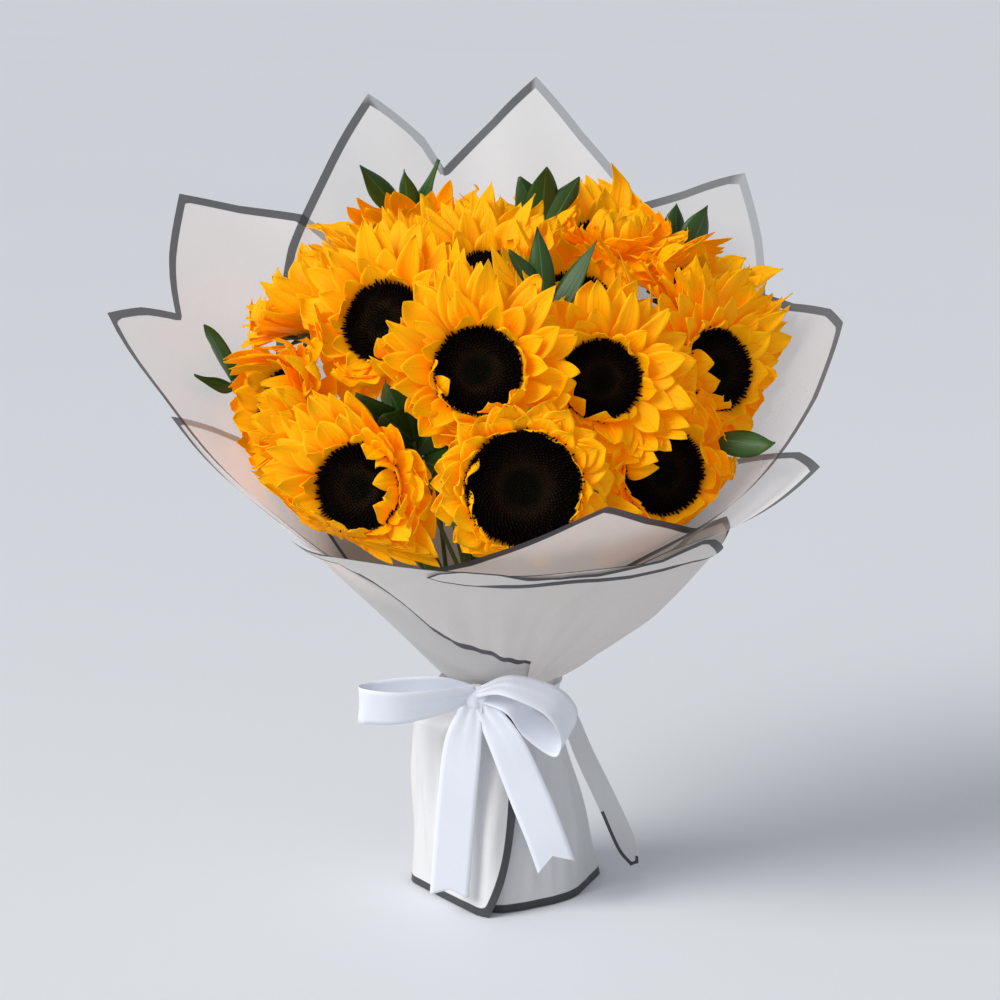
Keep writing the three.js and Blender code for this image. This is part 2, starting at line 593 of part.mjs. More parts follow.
// The petals and the plate that carries them, as one skin. Each row's petals stand side by side on
// the plate's rim, and the second row's stand in the gaps of the first, like a cone's scales. A petal
// is shortened until it crosses nothing, or left out where there is no room for it.
const LEAST_PETAL = 0.2;
const PETAL_ROWS = [{ rise: 9, length: 1, curl: -0.1 }, { rise: 32, length: 0.88, curl: -0.2 }];
function petalNode(flower, index) {
  const { facing } = axesOf(flower);
  const count = PETALS_PER_ROW;
  const random = seeded(101 + 17 * index);
  const scale = flower.disc / MEAN_DISC;
  const points = [];
  const addPoint = (point) => points.push(point) - 1;
  const turnOf = (k) => (2 * Math.PI * k) / count;
  const rim = RIM_DEPTHS.map((depth, level) => {
    const radius = flower.disc + RIM_BULGE[level];
    return Array.from({ length: count }, (_, k) => {
      const turn = turnOf(k + (level % 2) / 2);
      return addPoint(headPoint(flower, turn, radius, depth));
    });
  });
  const plate = [];
  for (let k = 1; k < count - 1; k += 1) {
    plate.push([rim[0][0], rim[0][k + 1], rim[0][k]], [rim[3][0], rim[3][k], rim[3][k + 1]]);
  }
  for (let k = 0; k < count; k += 1) {
    const next = (k + 1) % count;
    plate.push([rim[0][k], rim[0][next], rim[1][k]], [rim[3][k], rim[2][next], rim[3][next]]);
  }
  const placed = [plate];
  const behind = facesAround(flower.name);
  for (const [row, { rise: usualRise, length, curl }] of PETAL_ROWS.entries()) {
    const room = behind.map((face) => {
      const point = face.point.clone().addScaledVector(face.normal, -row * ROW_GAP);
      return { ...face, point };
    });
    for (let k = 0; k < count; k += 1) {
      const next = (k + 1) % count;
      const last = (k + count - 1) % count;
      const outer = [rim[1][last], rim[0][k], rim[1][k], rim[2][k]];
      const inner = [rim[2][k], rim[1][k], rim[2][next], rim[3][k]];
      const base = row ? inner : outer;
      const turn = turnOf(k + row / 2 + 0.2 * (random() - 0.5));
      const rise = usualRise + 10 * (random() - 0.5);
      const root = headPoint(flower, turnOf(k + row / 2), flower.disc + 1, RIM_DEPTHS[1 + row]);
      const radial = headPoint(flower, turn, 1, 0).sub(at(flower.at));
      const side = facing.clone().cross(radial);
      const heading = radial.multiplyScalar(Math.cos(rise * DEG))
        .addScaledVector(facing, Math.sin(rise * DEG));
      const usualLength = PETAL_LENGTH * length * (flower.petals ?? 1) * Math.sqrt(scale);
      const fullLength = usualLength * (0.9 + 0.16 * random());
      const width = PETAL_WIDTH * (0.94 + 0.14 * random()) * scale;
      const start = points.length;
      let petal = [[base[0], base[1], base[3]], [base[1], base[2], base[3]]];
      for (let share = 1; share > LEAST_PETAL; share -= 0.08) {
        points.length = start;
        const sections = bladeSections({
          root, side, heading, forward: facing, length: fullLength * share, width, curl,
          settle: (point) => clearOfHead(keepInside(point, room), flower),
          thick: PETAL_THICK, cup: 0.2, outline: PETAL_OUTLINE,
        });
        const rings = [base, ...sections.slice(1).map((section) => section.map(addPoint))];
        const blade = rings.slice(1).flatMap((ring, r) => facesBetween(rings[r], ring, BLADE_SIDES));
        if (!crossesAny(points, blade, [...placed, blade])) {
          petal = blade;
          break;
        }
      }
      if (petal.length === 2) points.length = start;
      placed.push(petal);
    }
  }
  return skinOf(points, placed.flat(2));
}

// Does a petal cut through one of the others, or through itself?
function crossesAny(points, petal, others) {
  const boxOf = (triangles) => new THREE.Box3().setFromPoints(triangles.flat().map((i) => points[i]));
  const box = boxOf(petal);
  const near = others.filter((other) => boxOf(other).intersectsBox(box));
  return near.some((other) => petal.some((a) => other.some((b) => {
    if (a.some((i) => b.includes(i))) return false;
    return pierces(points, a, b) || pierces(points, b, a);
  })));
}

const ray = new THREE.Ray();
const hit = new THREE.Vector3();
function pierces(points, edgesOf, triangle) {
  const [a, b, c] = triangle.map((i) => points[i]);
  return edgesOf.some((i, k) => {
    const [from, to] = [points[i], points[edgesOf[(k + 1) % 3]]];
    ray.origin.copy(from);
    ray.direction.copy(to).sub(from).normalize();
    return ray.intersectTriangle(a, b, c, false, hit) && hit.distanceTo(from) < from.distanceTo(to);
  });
}

// The seed disc: a low dome whose rings of florets stand up and down in turn.
const DISC_RINGS = [0.36, 0.72, 1];
const DISC_SIDES = 16;
const FLORET_RELIEF = 0.9;
const DOME = { middle: 0.06, shoulder: 0.16, fall: 0.06 };     // shares of the disc's radius

function discNode(flower) {
  const points = [headPoint(flower, 0, 0, flower.disc * DOME.middle)];
  const faces = [];
  const rings = DISC_RINGS.map((ring, row) => Array.from({ length: DISC_SIDES }, (_, k) => {
    const turn = (2 * Math.PI * (k + ring * 2)) / DISC_SIDES;
    const dome = DOME.middle + DOME.shoulder * Math.sin(Math.PI * ring) * ring - DOME.fall * ring ** 4;
    const floret = ring < 1 ? FLORET_RELIEF * Math.cos(Math.PI * (k + row)) : 0;
    return points.push(headPoint(flower, turn, flower.disc * ring, flower.disc * dome + floret)) - 1;
  }));
  rings.push(Array.from({ length: DISC_SIDES }, (_, k) => {
    const turn = (2 * Math.PI * (k + 2)) / DISC_SIDES;
    return points.push(headPoint(flower, turn, flower.disc * 0.96, DISC_BACK)) - 1;
  }));
  const back = rings[rings.length - 1];
  for (let k = 0; k < DISC_SIDES; k += 1) {
    const next = (k + 1) % DISC_SIDES;
    faces.push(0, rings[0][k], rings[0][next]);
    for (let r = 0; r + 1 < rings.length; r += 1) {
      const [ring, outer] = [rings[r], rings[r + 1]];
      faces.push(ring[k], outer[k], outer[next], ring[k], outer[next], ring[next]);
    }
    if (k > 0 && next > 0) faces.push(back[0], back[next], back[k]);
  }
  return skinOf(points, faces);
}

// ---- Stems ----
// Where each stem passes the tie: in the order of the flowers above, spread until none touch.
const GATHERED = 0.13;              // a stem starts this share of its flower's distance out
function spreadAtTie() {
  const entries = FLOWERS.map(({ name, at: [x, y] }) => ({ name, x: x * GATHERED, y: y * GATHERED }));
  for (const spray of SPRAYS) entries.push({ name: spray.name, x: spray.waist[0], y: spray.waist[1] });
  for (let round = 0; round < 400; round += 1) {
    for (const a of entries) {
      for (const b of entries) {
        const [dx, dy] = [b.x - a.x, b.y - a.y];
        const apart = Math.hypot(dx, dy);
        if (a === b || apart >= STEM_SPACING) continue;
        const push = (STEM_SPACING - apart) / 2 / Math.max(apart, 0.01);
        a.x -= dx * push;
        a.y -= dy * push;
        b.x += dx * push;
        b.y += dy * push;
      }
      const out = Math.hypot(a.x, a.y);
      if (out > STEM_BUNDLE_R) {
        a.x *= STEM_BUNDLE_R / out;
        a.y *= STEM_BUNDLE_R / out;
      }
    }
  }
  return new Map(entries.map((entry) => [entry.name, entry]));
}
const TIE = spreadAtTie();

const belowGround = new THREE.BoxGeometry(400, 400, 60).translate(0, 0, -30);

function cutAtGround(geometry) {
  return geometryOf(solidOf(geometry).subtract(solidOf(belowGround.clone())));
}

// Each stem starts below the surface, to be cut off level with it, and opens out above the tie.
const STEM_LEVELS = [[STEM_SPLAY, -8], [1, WAIST_Z - 15], [1.25, WAIST_Z + 25]];
function stemStart(name) {
  const { x, y } = TIE.get(name);
  return STEM_LEVELS.map(([spread, z]) => vec(x * spread, y * spread, z));
}

// The calyx behind a flower, with pointed bracts round its edge.
const BRACTS = 6;
const BRACT_REACH = 10;             // past the disc's rim
const CALYX_WIDTH = 0.92;           // shares of the disc's radius
const CALYX_WAIST = 0.7;

function calyx(flower) {
  const reach = flower.disc;
  const { facing } = axesOf(flower);
  const centre = at(flower.at);
  const faces = facesAround(flower.name);
  const turns = Array.from({ length: 2 * BRACTS }, (_, k) => (Math.PI * k) / BRACTS);
  const ring = (radius, depth) => turns.map((turn) => headPoint(flower, turn, radius, depth));
  const pointed = ring(reach * CALYX_WIDTH, BRACT_DEPTH + 1).map((point, k) => {
    if (k % 2 === 0) return point;
    const tip = keepInside(headPoint(flower, turns[k], reach + BRACT_REACH, BRACT_DEPTH), faces);
    const ahead = tip.clone().sub(centre).dot(facing) - BRACT_DEPTH;
    return tip.addScaledVector(facing, -Math.max(ahead, 0));
  });
  return loft([
    ring(STEM_R + 2, CALYX_BACK),
    ring(reach * CALYX_WAIST, BRACT_DEPTH - 3),
    pointed,
    ring(reach * CALYX_WIDTH, CALYX_FRONT),
  ]);
}

const NECK_LENGTH = 46;             // of the stem's straight end behind its flower
function stemNode(flower) {
  const { facing } = axesOf(flower);
  const centre = at(flower.at);
  const neck = centre.clone().addScaledVector(facing, -NECK_LENGTH);
  const points = [...stemStart(flower.name), neck, centre.clone().addScaledVector(facing, CALYX_BACK + 4)];
  return cutAtGround(fuse([tube(points, STEM_R, 6, 5), calyx(flower)]));
}

const FORK_SHARE = 0.93;            // where the twigs leave the trunk, on its last stretch
function sprayNode(spray) {
  const fork = at(spray.fork);
  const trunk = [...stemStart(spray.name), fork];
  const pieces = [tube(trunk, SPRAY_R, 5, 5)];
  spray.groups.forEach((group, i) => {
    const root = at(group.root);
    const faces = facesAround(`${spray.name}_${i}`);
    const start = trunk[2].clone().lerp(fork, FORK_SHARE);
    pieces.push(tube([start, ...group.way.map(at), root], SPRAY_R * 0.8, 4, 4));
    const twig = root.clone().sub(at(group.way[group.way.length - 1])).normalize();
    group.tips.forEach((tip, leaf) => {
      const heading = at(tip).sub(root).addScaledVector(twig, leaf * LEAF_SPACING);
      const length = heading.length();
      heading.normalize();
      const outward = vec(root.x * 0.4, root.y * 0.4 - 60, 90).normalize();
      const side = heading.clone().cross(outward).normalize();
      const forward = side.clone().cross(heading).normalize();
      const foot = root.clone().addScaledVector(twig, -leaf * LEAF_SPACING);
      pieces.push(loft(bladeSections({
        root: foot, heading, side, forward, length, settle: (point) => keepInside(point, faces),
        width: Math.min(LEAF_WIDTH, length * LEAF_BREADTH), thick: LEAF_THICK, cup: 0.3, curl: 0,
        outline: LEAF_OUTLINE,
      }), BLADE_SIDES));
    });
  });
  return cutAtGround(fuse(pieces));
}

// ---- Tie and ribbon ----
const CORD_R = 1.8;
const CORD_Z = WAIST_Z - 16;
function innerTie() {
  const radius = STEM_BUNDLE_R + STEM_R + 2 * CORD_R;
  return new THREE.TorusGeometry(radius, CORD_R, 5, 14).translate(0, 0, CORD_Z);
}

// The ribbon's band lies on the outermost sheet, narrower at its lower edge.
const BAND = { radius: 43.8, narrower: 4.6, low: WAIST_Z - 13, high: WAIST_Z - 1, sides: 20 };
function ribbon() {
  const { radius, narrower, low, high, sides } = BAND;
  const ring = Array.from({ length: sides }, (_, k) => {
    const corner = (r, z) => outwards((2 * Math.PI * k) / sides).multiplyScalar(r).setZ(z);
    return [
      corner(radius - narrower, low), corner(radius - narrower + RIBBON_THICK, low),
      corner(radius + RIBBON_THICK, high), corner(radius, high),
    ];
  });
  const faces = [];
  for (let k = 0; k < sides; k += 1) {
    for (let side = 0; side < 4; side += 1) {
      const [a, b] = [4 * k + side, 4 * k + ((side + 1) % 4)];
      const [c, d] = [b, a].map((corner) => (corner + 4) % (4 * sides));
      faces.push(a, d, c, a, c, b);
    }
  }
  const knot = new THREE.SphereGeometry(1, 9, 6).scale(...KNOT_SIZE).translate(...KNOT_AT);
  return fuse([skinOf(ring.flat(), faces), knot, ...BOW.map((strip) => band(strip, RIBBON_THICK))]);
}

// ---- The scene graph ----
const finish = (color, roughness) => new THREE.MeshStandardMaterial({ color, roughness, metalness: 0 });
const PETAL = finish(0xffae0a, 0.6);
const DISC = finish(0x1a0f0a, 0.95);
const STEM = finish(0x5c7a35, 0.7);
const LEAF = finish(0x24461d, 0.35);
const FILM_FINISH = finish(0xe9e6e3, 0.45);
const RIBBON_FINISH = finish(0xf2f0fa, 0.4);
const TWINE = finish(0xc9b48a, 0.9);

const bunch = new THREE.Group();
bunch.position.set(CENTRE_SHIFT[0], CENTRE_SHIFT[1], 0);

function addPiece(name, geometry, material) {
  const mesh = new THREE.Mesh(geometry, material);
  mesh.name = name;
  bunch.add(mesh);
}

FLOWERS.forEach((flower, index) => {
  addPiece(`${flower.name}_petals`, petalNode(flower, index), PETAL);
  addPiece(`${flower.name}_disc`, discNode(flower), DISC);
  addPiece(`${flower.name}_stem`, stemNode(flower), STEM);
});
for (const spray of SPRAYS) addPiece(spray.name, sprayNode(spray), LEAF);
for (const sheet of SHEETS) addPiece(sheet.name, filmSheet(sheet), FILM_FINISH);
addPiece('wrap_skirt', skirt(), FILM_FINISH);
addPiece('wrap_tail', band(TAIL, TAIL_FILM), FILM_FINISH);
addPiece('inner_tie', innerTie(), TWINE);
addPiece('ribbon', ribbon(), RIBBON_FINISH);

export default bunch;
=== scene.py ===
# %% [markdown]
# # A bunch of sunflowers
# Fifteen sunflowers and four leafy sprays stand in layers of frosted film with a grey printed
# border, tied at the waist with a white satin ribbon. The solid model gives every piece its place.
# This lesson gives each piece its fine shape and its finish. Lengths are in millimetres round the
# bunch's own upright axis, and become metres when a mesh is made.

# %% Load the frame
import math
from collections import namedtuple

import bpy
import numpy as np
from mathutils import Matrix, Vector


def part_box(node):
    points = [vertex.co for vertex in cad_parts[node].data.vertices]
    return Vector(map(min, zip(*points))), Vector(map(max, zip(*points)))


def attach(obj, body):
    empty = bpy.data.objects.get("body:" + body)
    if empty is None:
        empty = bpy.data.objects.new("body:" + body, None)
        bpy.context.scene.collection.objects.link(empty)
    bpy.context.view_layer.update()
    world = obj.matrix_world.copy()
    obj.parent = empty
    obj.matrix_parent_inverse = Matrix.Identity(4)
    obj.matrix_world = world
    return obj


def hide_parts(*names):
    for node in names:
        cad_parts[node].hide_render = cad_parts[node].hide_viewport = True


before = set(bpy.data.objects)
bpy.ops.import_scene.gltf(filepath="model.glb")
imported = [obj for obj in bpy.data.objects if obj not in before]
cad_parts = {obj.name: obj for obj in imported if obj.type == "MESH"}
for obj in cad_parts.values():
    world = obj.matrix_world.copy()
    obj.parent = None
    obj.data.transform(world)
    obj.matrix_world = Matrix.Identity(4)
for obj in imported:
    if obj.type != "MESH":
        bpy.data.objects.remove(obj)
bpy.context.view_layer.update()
MM = 0.001
tie_low, tie_high = (np.array(corner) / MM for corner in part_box("inner_tie"))
AXIS = (tie_low + tie_high) / 2 * [1, 1, 0]     # the bunch's own upright axis, in millimetres

# %% [markdown]
# ## Camera, light and floor
# The camera comes first, at the photograph's distance and height. The light is a bright pale room
# with a broad soft window on the left, so the right side of the wrap falls into a gentle shade. The
# standard view keeps the petals' full yellow, which a film-like view would wash out.

# %% Camera
CAMERA_AT = (0.0, -2000.0, 675.0)
LOOKS_AT = (0.0, 0.0, 278.9)
LENS = 105.5


def in_metres(point):
    return Vector((np.array(point) + AXIS) * MM)


def add_to_scene(name, data):
    made = bpy.data.objects.new(name, data)
    bpy.context.scene.collection.objects.link(made)
    return made


def aim(thing, place):
    thing.rotation_euler = (place - thing.location).to_track_quat("-Z", "Y").to_euler()


camera = add_to_scene("camera", bpy.data.cameras.new("camera"))
camera.data.lens = LENS
camera.location = in_metres(CAMERA_AT)
aim(camera, in_metres(LOOKS_AT))
bpy.context.scene.camera = camera


# %% Lights and sky
def add_light(name, kind, power, colour):
    light = bpy.data.lights.new(name, kind)
    light.energy, light.color = power, colour
    return add_to_scene(name, light)


# The sky's light comes from far away, so the floor is evenly lit right to the picture's back.
sky = add_light("window_sky", "SUN", 2.25, (1.0, 0.985, 0.96))
sky.data.angle = math.radians(34)
sky.rotation_euler = (math.radians(54), 0, math.radians(-60))

window = add_light("window", "AREA", 12, (1.0, 0.98, 0.95))
window.data.size = 1.5
window.location = (-1.5, -1.9, 1.7)
aim(window, Vector((0, 0, 0.35)))

world = bpy.data.worlds.new("room")
world.use_nodes = True
room = world.node_tree.nodes["Background"].inputs
room["Color"].default_value = (0.90, 0.95, 1.0, 1)
room["Strength"].default_value = 0.42
bpy.context.scene.world = world
bpy.context.scene.view_settings.view_transform = "Standard"

# %% [markdown]
# ## Writing node maths as Python
# A material is a small program of nodes, and so is a tree of Geometry Nodes. These wrappers let
# `1 - mask * 0.3` add its Math nodes by itself, so that each recipe below reads as short sums.


# %% Node helpers
def maths(operation, flipped=False):
    """A method that adds one Math node. Flipped puts the other item first."""
    def method(self, *others):
        items = (*others, self) if flipped else (self, *others)
        return self.recipe.node("ShaderNodeMath", {"operation": operation}, *items)
    return method


class Wire:
    """A node's socket that can be used in sums."""

    def __init__(self, recipe, socket):
        self.recipe, self.socket = recipe, socket

    __add__ = __radd__ = maths("ADD")
    __sub__, __rsub__ = maths("SUBTRACT"), maths("SUBTRACT", flipped=True)
    __mul__ = __rmul__ = maths("MULTIPLY")
    __truediv__, __pow__, __abs__ = maths("DIVIDE"), maths("POWER"), maths("ABSOLUTE")
    sine, cosine, root = maths("SINE"), maths("COSINE"), maths("SQRT")

    def below(self, edge, soft):
        """1 below the edge and 0 above it, with a soft step between."""
        return self.recipe.node("MapRange", {"interpolation_type": "SMOOTHSTEP"}, self,
                                edge - soft, edge + soft, 1.0, 0.0)


class Recipe:
    """A tree of nodes that grows as its sums are written."""

    PREFIX = "ShaderNode"

    def __init__(self, tree):
        self.tree = tree

    def node(self, kind, settings=None, *values, output=0, **named):
        """Adds a node, sets it up, fills its sockets in order, by name or by number as in i6, and
        returns an output."""
        made = self.tree.nodes.new(kind if "Node" in kind else self.PREFIX + kind)
        for key, value in (settings or {}).items():
            setattr(made, key, value)
        for index, value in enumerate(values):
            self.fill(made.inputs[index], value)
        for key, value in named.items():
            self.fill(made.inputs[int(key[1:]) if key[1:].isdigit() else key.replace("_", " ")], value)
        return Wire(self, made.outputs[output])

    def fill(self, socket, value):
        if isinstance(value, Wire):
            self.tree.links.new(value.socket, socket)
        else:
            socket.default_value = value


class Finish(Recipe):
    """A Principled material, with its plain sockets given by name."""

    def __init__(self, name, **plain):
        self.material = bpy.data.materials.new(name)
        self.material.use_nodes = True
        super().__init__(self.material.node_tree)
        self.shader = self.tree.nodes["Principled BSDF"]
        self.paint(**plain)

    def attribute(self, name):
        return self.node("Attribute", {"attribute_name": name}, output="Fac")

    def places(self):
        return self.node("TexCoord", {}, output="Object")

    def uv(self):
        """The two directions of the UV map, across and along."""
        split = self.node("SeparateXYZ", {}, self.node("UVMap", {"uv_map": "UVMap"})).socket.node
        return Wire(self, split.outputs[0]), Wire(self, split.outputs[1])

    def noise(self, where, scale, detail=3.0, rough=0.5):
        return self.node("TexNoise", {}, Vector=where, Scale=scale, Detail=detail, Roughness=rough)

    def stretched(self, across, along, lift=0.0):
        """A place made from two numbers, for a texture that follows a blade or a ribbon."""
        return self.node("CombineXYZ", {}, across, along, lift)

    def mix(self, share, first, second):
        """A colour between two colours."""
        return self.node("Mix", {"data_type": "RGBA"}, i0=share, i6=first, i7=second, output=2)

    def ramp(self, share, stops):
        """A colour that runs through stops of (place, colour)."""
        made = self.node("ValToRGB", {}, share)
        elements = made.socket.node.color_ramp.elements
        while len(elements) < len(stops):
            elements.new(0.5)
        for element, (place, colour) in zip(elements, stops):
            element.position, element.color = place, (*colour, 1.0)
        return made

    def paint(self, **sockets):
        """Fills the shader's sockets by their names in small letters."""
        for socket, value in sockets.items():
            key = socket.replace("_", " ").title().replace("Ior", "IOR")
            self.fill(self.shader.inputs[key], value)

    def bump(self, height, depth, strength=1.0):
        """Relief from a height of 0 to 1 that stands for a depth in millimetres."""
        self.paint(normal=self.node("Bump", {}, Strength=strength, Distance=depth * MM, Height=height))


def rgb(red, green, blue):
    return (red, green, blue, 1.0)


# %% Floor
FLOOR_SPAN = 45.0                       # metres, so that its far edge lies behind the picture
FLOOR_Z = -0.0005


def pale_floor():
    f = Finish("pale_floor", roughness=0.6, specular_ior_level=0.3)
    cloud = f.noise(f.places(), 0.6)
    f.paint(base_color=f.mix(cloud, rgb(0.78, 0.80, 0.84), rgb(0.81, 0.83, 0.87)))
    mesh = bpy.data.meshes.new("floor")
    corners = [(x * FLOOR_SPAN, y * FLOOR_SPAN, FLOOR_Z) for x, y in ((-1, -1), (1, -1), (1, 1), (-1, 1))]
    mesh.from_pydata(corners, [], [(0, 1, 2, 3)])
    mesh.materials.append(f.material)
    floor = add_to_scene("floor", mesh)


pale_floor()

# %% [markdown]
# ## From points to pieces
# Every fine piece below is first an array of points and a list of faces. One function turns those
# into a mesh with its UV map and its attributes, and another does so for a grid of points. A third
# hands the finished piece over: it rides on the bunch's body and stands for its plain solid.


# %% Mesh helpers
def unit(vectors):
    return vectors / np.linalg.norm(vectors, axis=-1, keepdims=True)


def blend_between(a, b, share):
    return a + (b - a) * share


def turns_round(count):
    """Evenly spread turns round an axis, in radians."""
    return np.arange(count) * 2 * math.pi / count


def read_off(table, where):
    """The values at some places, from a table of [place, value] with straight lines between."""
    return np.interp(where, *np.array(table, float).T)


def waves(place, height, table):
    """A sum of waves. Each has its size, its count, where it starts and how it leans with height."""
    return sum(size * np.sin(count * place + start + height * lean) for size, count, start, lean in table)


def grid_faces(columns, rows, start=0, round_about=False):
    """Quads of a grid whose points are numbered column by column."""
    i, j = np.meshgrid(np.arange(columns - (not round_about)), np.arange(rows - 1), indexing="ij")
    here, there = i * rows + j, (i + 1) % columns * rows + j
    return (start + np.stack([here, there, there + 1, here + 1], -1)).reshape(-1, 4).tolist()


def make_mesh(name, points, faces, finish, uv=None, **attributes):
    """A smooth mesh. Its UV map and its attributes have a value for each point, or one for all."""
    mesh = bpy.data.meshes.new(name)
    mesh.from_pydata(((points + AXIS) * MM).reshape(-1, 3).tolist(), [], faces)
    mesh.polygons.foreach_set("use_smooth", [True] * len(mesh.polygons))
    count = len(mesh.vertices)
    if uv is not None:
        corners = np.zeros(len(mesh.loops), int)
        mesh.loops.foreach_get("vertex_index", corners)
        each = np.broadcast_to(np.reshape(uv, (-1, 2)), (count, 2))[corners].astype(np.float32)
        mesh.uv_layers.new(name="UVMap").data.foreach_set("uv", each.ravel())
    for key, values in attributes.items():
        each = np.broadcast_to(np.ravel(values), count).astype(np.float32)
        mesh.attributes.new(key, "FLOAT", "POINT").data.foreach_set("value", each)
    mesh.materials.append(finish.material)
    return add_to_scene(name, mesh)


def make_grid(name, points, finish, round_about=False, capped=False, inside_out=False, **looks):
    """A mesh from a grid of points. A capped one is closed round about and at both ends."""
    columns, rows = points.shape[:2]
    faces = grid_faces(columns, rows, round_about=round_about or capped)
    if capped:
        rim = np.arange(columns) * rows
        faces += [rim[::-1].tolist(), (rim + rows - 1).tolist()]
    if inside_out:
        faces = [face[::-1] for face in faces]
    return make_mesh(name, points, faces, finish, **looks)


def settle_modifiers(piece):
    """Turns what the modifiers make into plain mesh."""
    shown = piece.evaluated_get(bpy.context.evaluated_depsgraph_get())
    mesh = bpy.data.meshes.new_from_object(shown)
    piece.modifiers.clear()
    piece.data = mesh


def thicken(piece, thickness):
    wall = piece.modifiers.new("wall", "SOLIDIFY")
    wall.thickness, wall.offset = thickness * MM, 0.0
    settle_modifiers(piece)


def joined(pieces):
    """One object from several, under the first one's name."""
    with bpy.context.temp_override(active_object=pieces[0], selected_editable_objects=pieces):
        bpy.ops.object.join()
    return pieces[0]


def hand_over(piece, slot, *nodes):
    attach(piece, "root")
    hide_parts(*nodes)


def frame_points(node):
    """The points of a solid piece, in millimetres round the bunch's axis."""
    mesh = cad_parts[node].data
    flat = np.zeros(3 * len(mesh.vertices))
    mesh.vertices.foreach_get("co", flat)
    return flat.reshape(-1, 3) / MM - AXIS


# %% [markdown]
# ## Where the flowers are
# The flowers' places aren't typed in again. The rim of a disc is its widest ring, so the furthest
# points of each disc's solid give its centre, its radius and the way that it faces.


# %% Measure the flowers
class Flower:
    """A flower's centre, radius and own axes, measured on its disc's solid."""

    RIM_POINTS = 16

    def __init__(self, number):
        self.number = number
        points = np.unique(frame_points(f"sunflower_{number:02d}_disc").round(2), axis=0)
        middle = points.mean(0)
        rim = points[np.argsort(-np.linalg.norm(points - middle, axis=1))[:self.RIM_POINTS]]
        self.centre = rim.mean(0)
        self.disc = np.linalg.norm(rim - self.centre, axis=1).mean()
        normal = np.linalg.svd(rim - self.centre)[2][2]
        self.facing = normal * np.sign((middle - self.centre) @ normal)
        self.across = unit(np.cross([0.0, 0.0, 1.0], self.facing))
        self.over = np.cross(self.facing, self.across)

    def point(self, turn, radius, depth):
        """A point given by a turn round the flower's axis, a distance from it and a depth."""
        turn, radius, depth = np.broadcast_arrays(turn, radius, depth)
        return (self.centre + self.across * (radius * np.cos(turn))[..., None]
                + self.over * (radius * np.sin(turn))[..., None] + self.facing * depth[..., None])

    def way(self, turn):
        """The direction straight out from the flower's axis."""
        return self.point(turn, 1.0, 0.0) - self.centre


flowers = [Flower(number) for number in range(1, 16)]
for flower in flowers[:3]:
    print("flower", flower.number, flower.centre.round(), "disc", round(flower.disc, 1))

# %% [markdown]
# ## The wrap's slope
# The film leaves the tie as a cone that opens wide in front and stands steep behind. One formula
# gives every sheet its place, so the layers follow each other and never cross. A slow wave, shared by
# all of them, takes the stiffness out of it.

# %% Slope of the wrap
WAIST_Z = 155.0
WAIST_R = 42.0
FILM_LAYERS = 6


def outwards(azimuth):
    turn = np.radians(azimuth)
    return np.stack([np.sin(turn), -np.cos(turn), np.zeros_like(turn)], -1)


SWELL_SIZE, SWELL_AZIMUTH, SWELL_SPREAD = 4.5, 55.0, 22.0
TILT_FROM, TILT_OVER = 170.0, 90.0      # where up the slope a sheet's own tilt sets in
NECK_TOP, NECK_LENGTH, NECK_IN = 6.0, 16.0, 5.0     # the upright neck under the ribbon


def flare(azimuth):
    """The slope's lean outwards from upright, in radians. It swells at the front right."""
    turn = np.radians(azimuth)
    lengthways = 14.3 * np.cos(turn) - 1.6 * np.cos(2 * turn)
    sideways = -0.9 * np.sin(turn) - 1.1 * np.sin(2 * turn)
    wrapped = (np.asarray(azimuth) + 180) % 360 - 180
    swell = SWELL_SIZE * np.exp(-((wrapped - SWELL_AZIMUTH) / SWELL_SPREAD) ** 2)
    return np.radians(36.7 + lengthways + sideways + swell)


def slow_wave(azimuth, up):
    turn = np.radians(azimuth)
    size = 7.0 * np.clip(up / 430, 0, 1.1) ** 2 + 0.8 * np.clip(up / 60, 0, 1)
    return size * waves(turn, up, [(0.6, 3, 0.6, 0), (0.35, 7, 1.9, 0.012), (0.22, 15, 0.4, -0.02)])


def wrap_point(azimuth, up, inset, tilt=0.0):
    """A point of the wrap at a distance up the slope, inset from the outermost layer."""
    azimuth, up, inset = np.broadcast_arrays(azimuth, up, inset)
    slope = flare(azimuth) + np.radians(tilt) * np.clip((up - TILT_FROM) / TILT_OVER, 0, 1)
    neck = np.clip((NECK_TOP - up) / NECK_LENGTH, 0, 1)
    rise = blend_between(np.cos(slope), 1.0, neck)
    radius = WAIST_R + up * np.sin(slope) * (1 - neck) - NECK_IN * neck
    normal = outwards(azimuth) * rise[..., None]
    normal[..., 2] = -np.sin(slope) * (1 - neck)
    point = outwards(azimuth) * radius[..., None]
    point[..., 2] = WAIST_Z + up * rise
    return point - unit(normal) * inset[..., None]


def layer_inset(layer, up):
    return (FILM_LAYERS - layer) * blend_between(1.3, 2.4, np.clip(up / 80, 0, 1))


def smooth_step(value, low, high):
    share = np.clip((value - low) / (high - low), 0, 1)
    return share * share * (3 - 2 * share)


def loose_share(azimuth, up):
    """How far out the loose cuff stands, as a share: nothing at its left, most where it bags out."""
    bag = 1.3 * np.sin(math.pi * np.clip(up / 165, 0, 1)) ** 0.8
    return smooth_step(azimuth, 10, 50) * (np.clip((up - 40) / 60, 0, 1) + bag)


def soft_folds(azimuth, up):
    """Shallow folds that run up the cuff from the tie, where the film is gathered."""
    fade = np.clip(up / 25, 0, 1) * np.clip((150 - up) / 60, 0, 1)
    return fade * waves(azimuth, up, [(0.9, 0.33, 0, 0.012), (0.6, 0.71, 2, -0.02)])


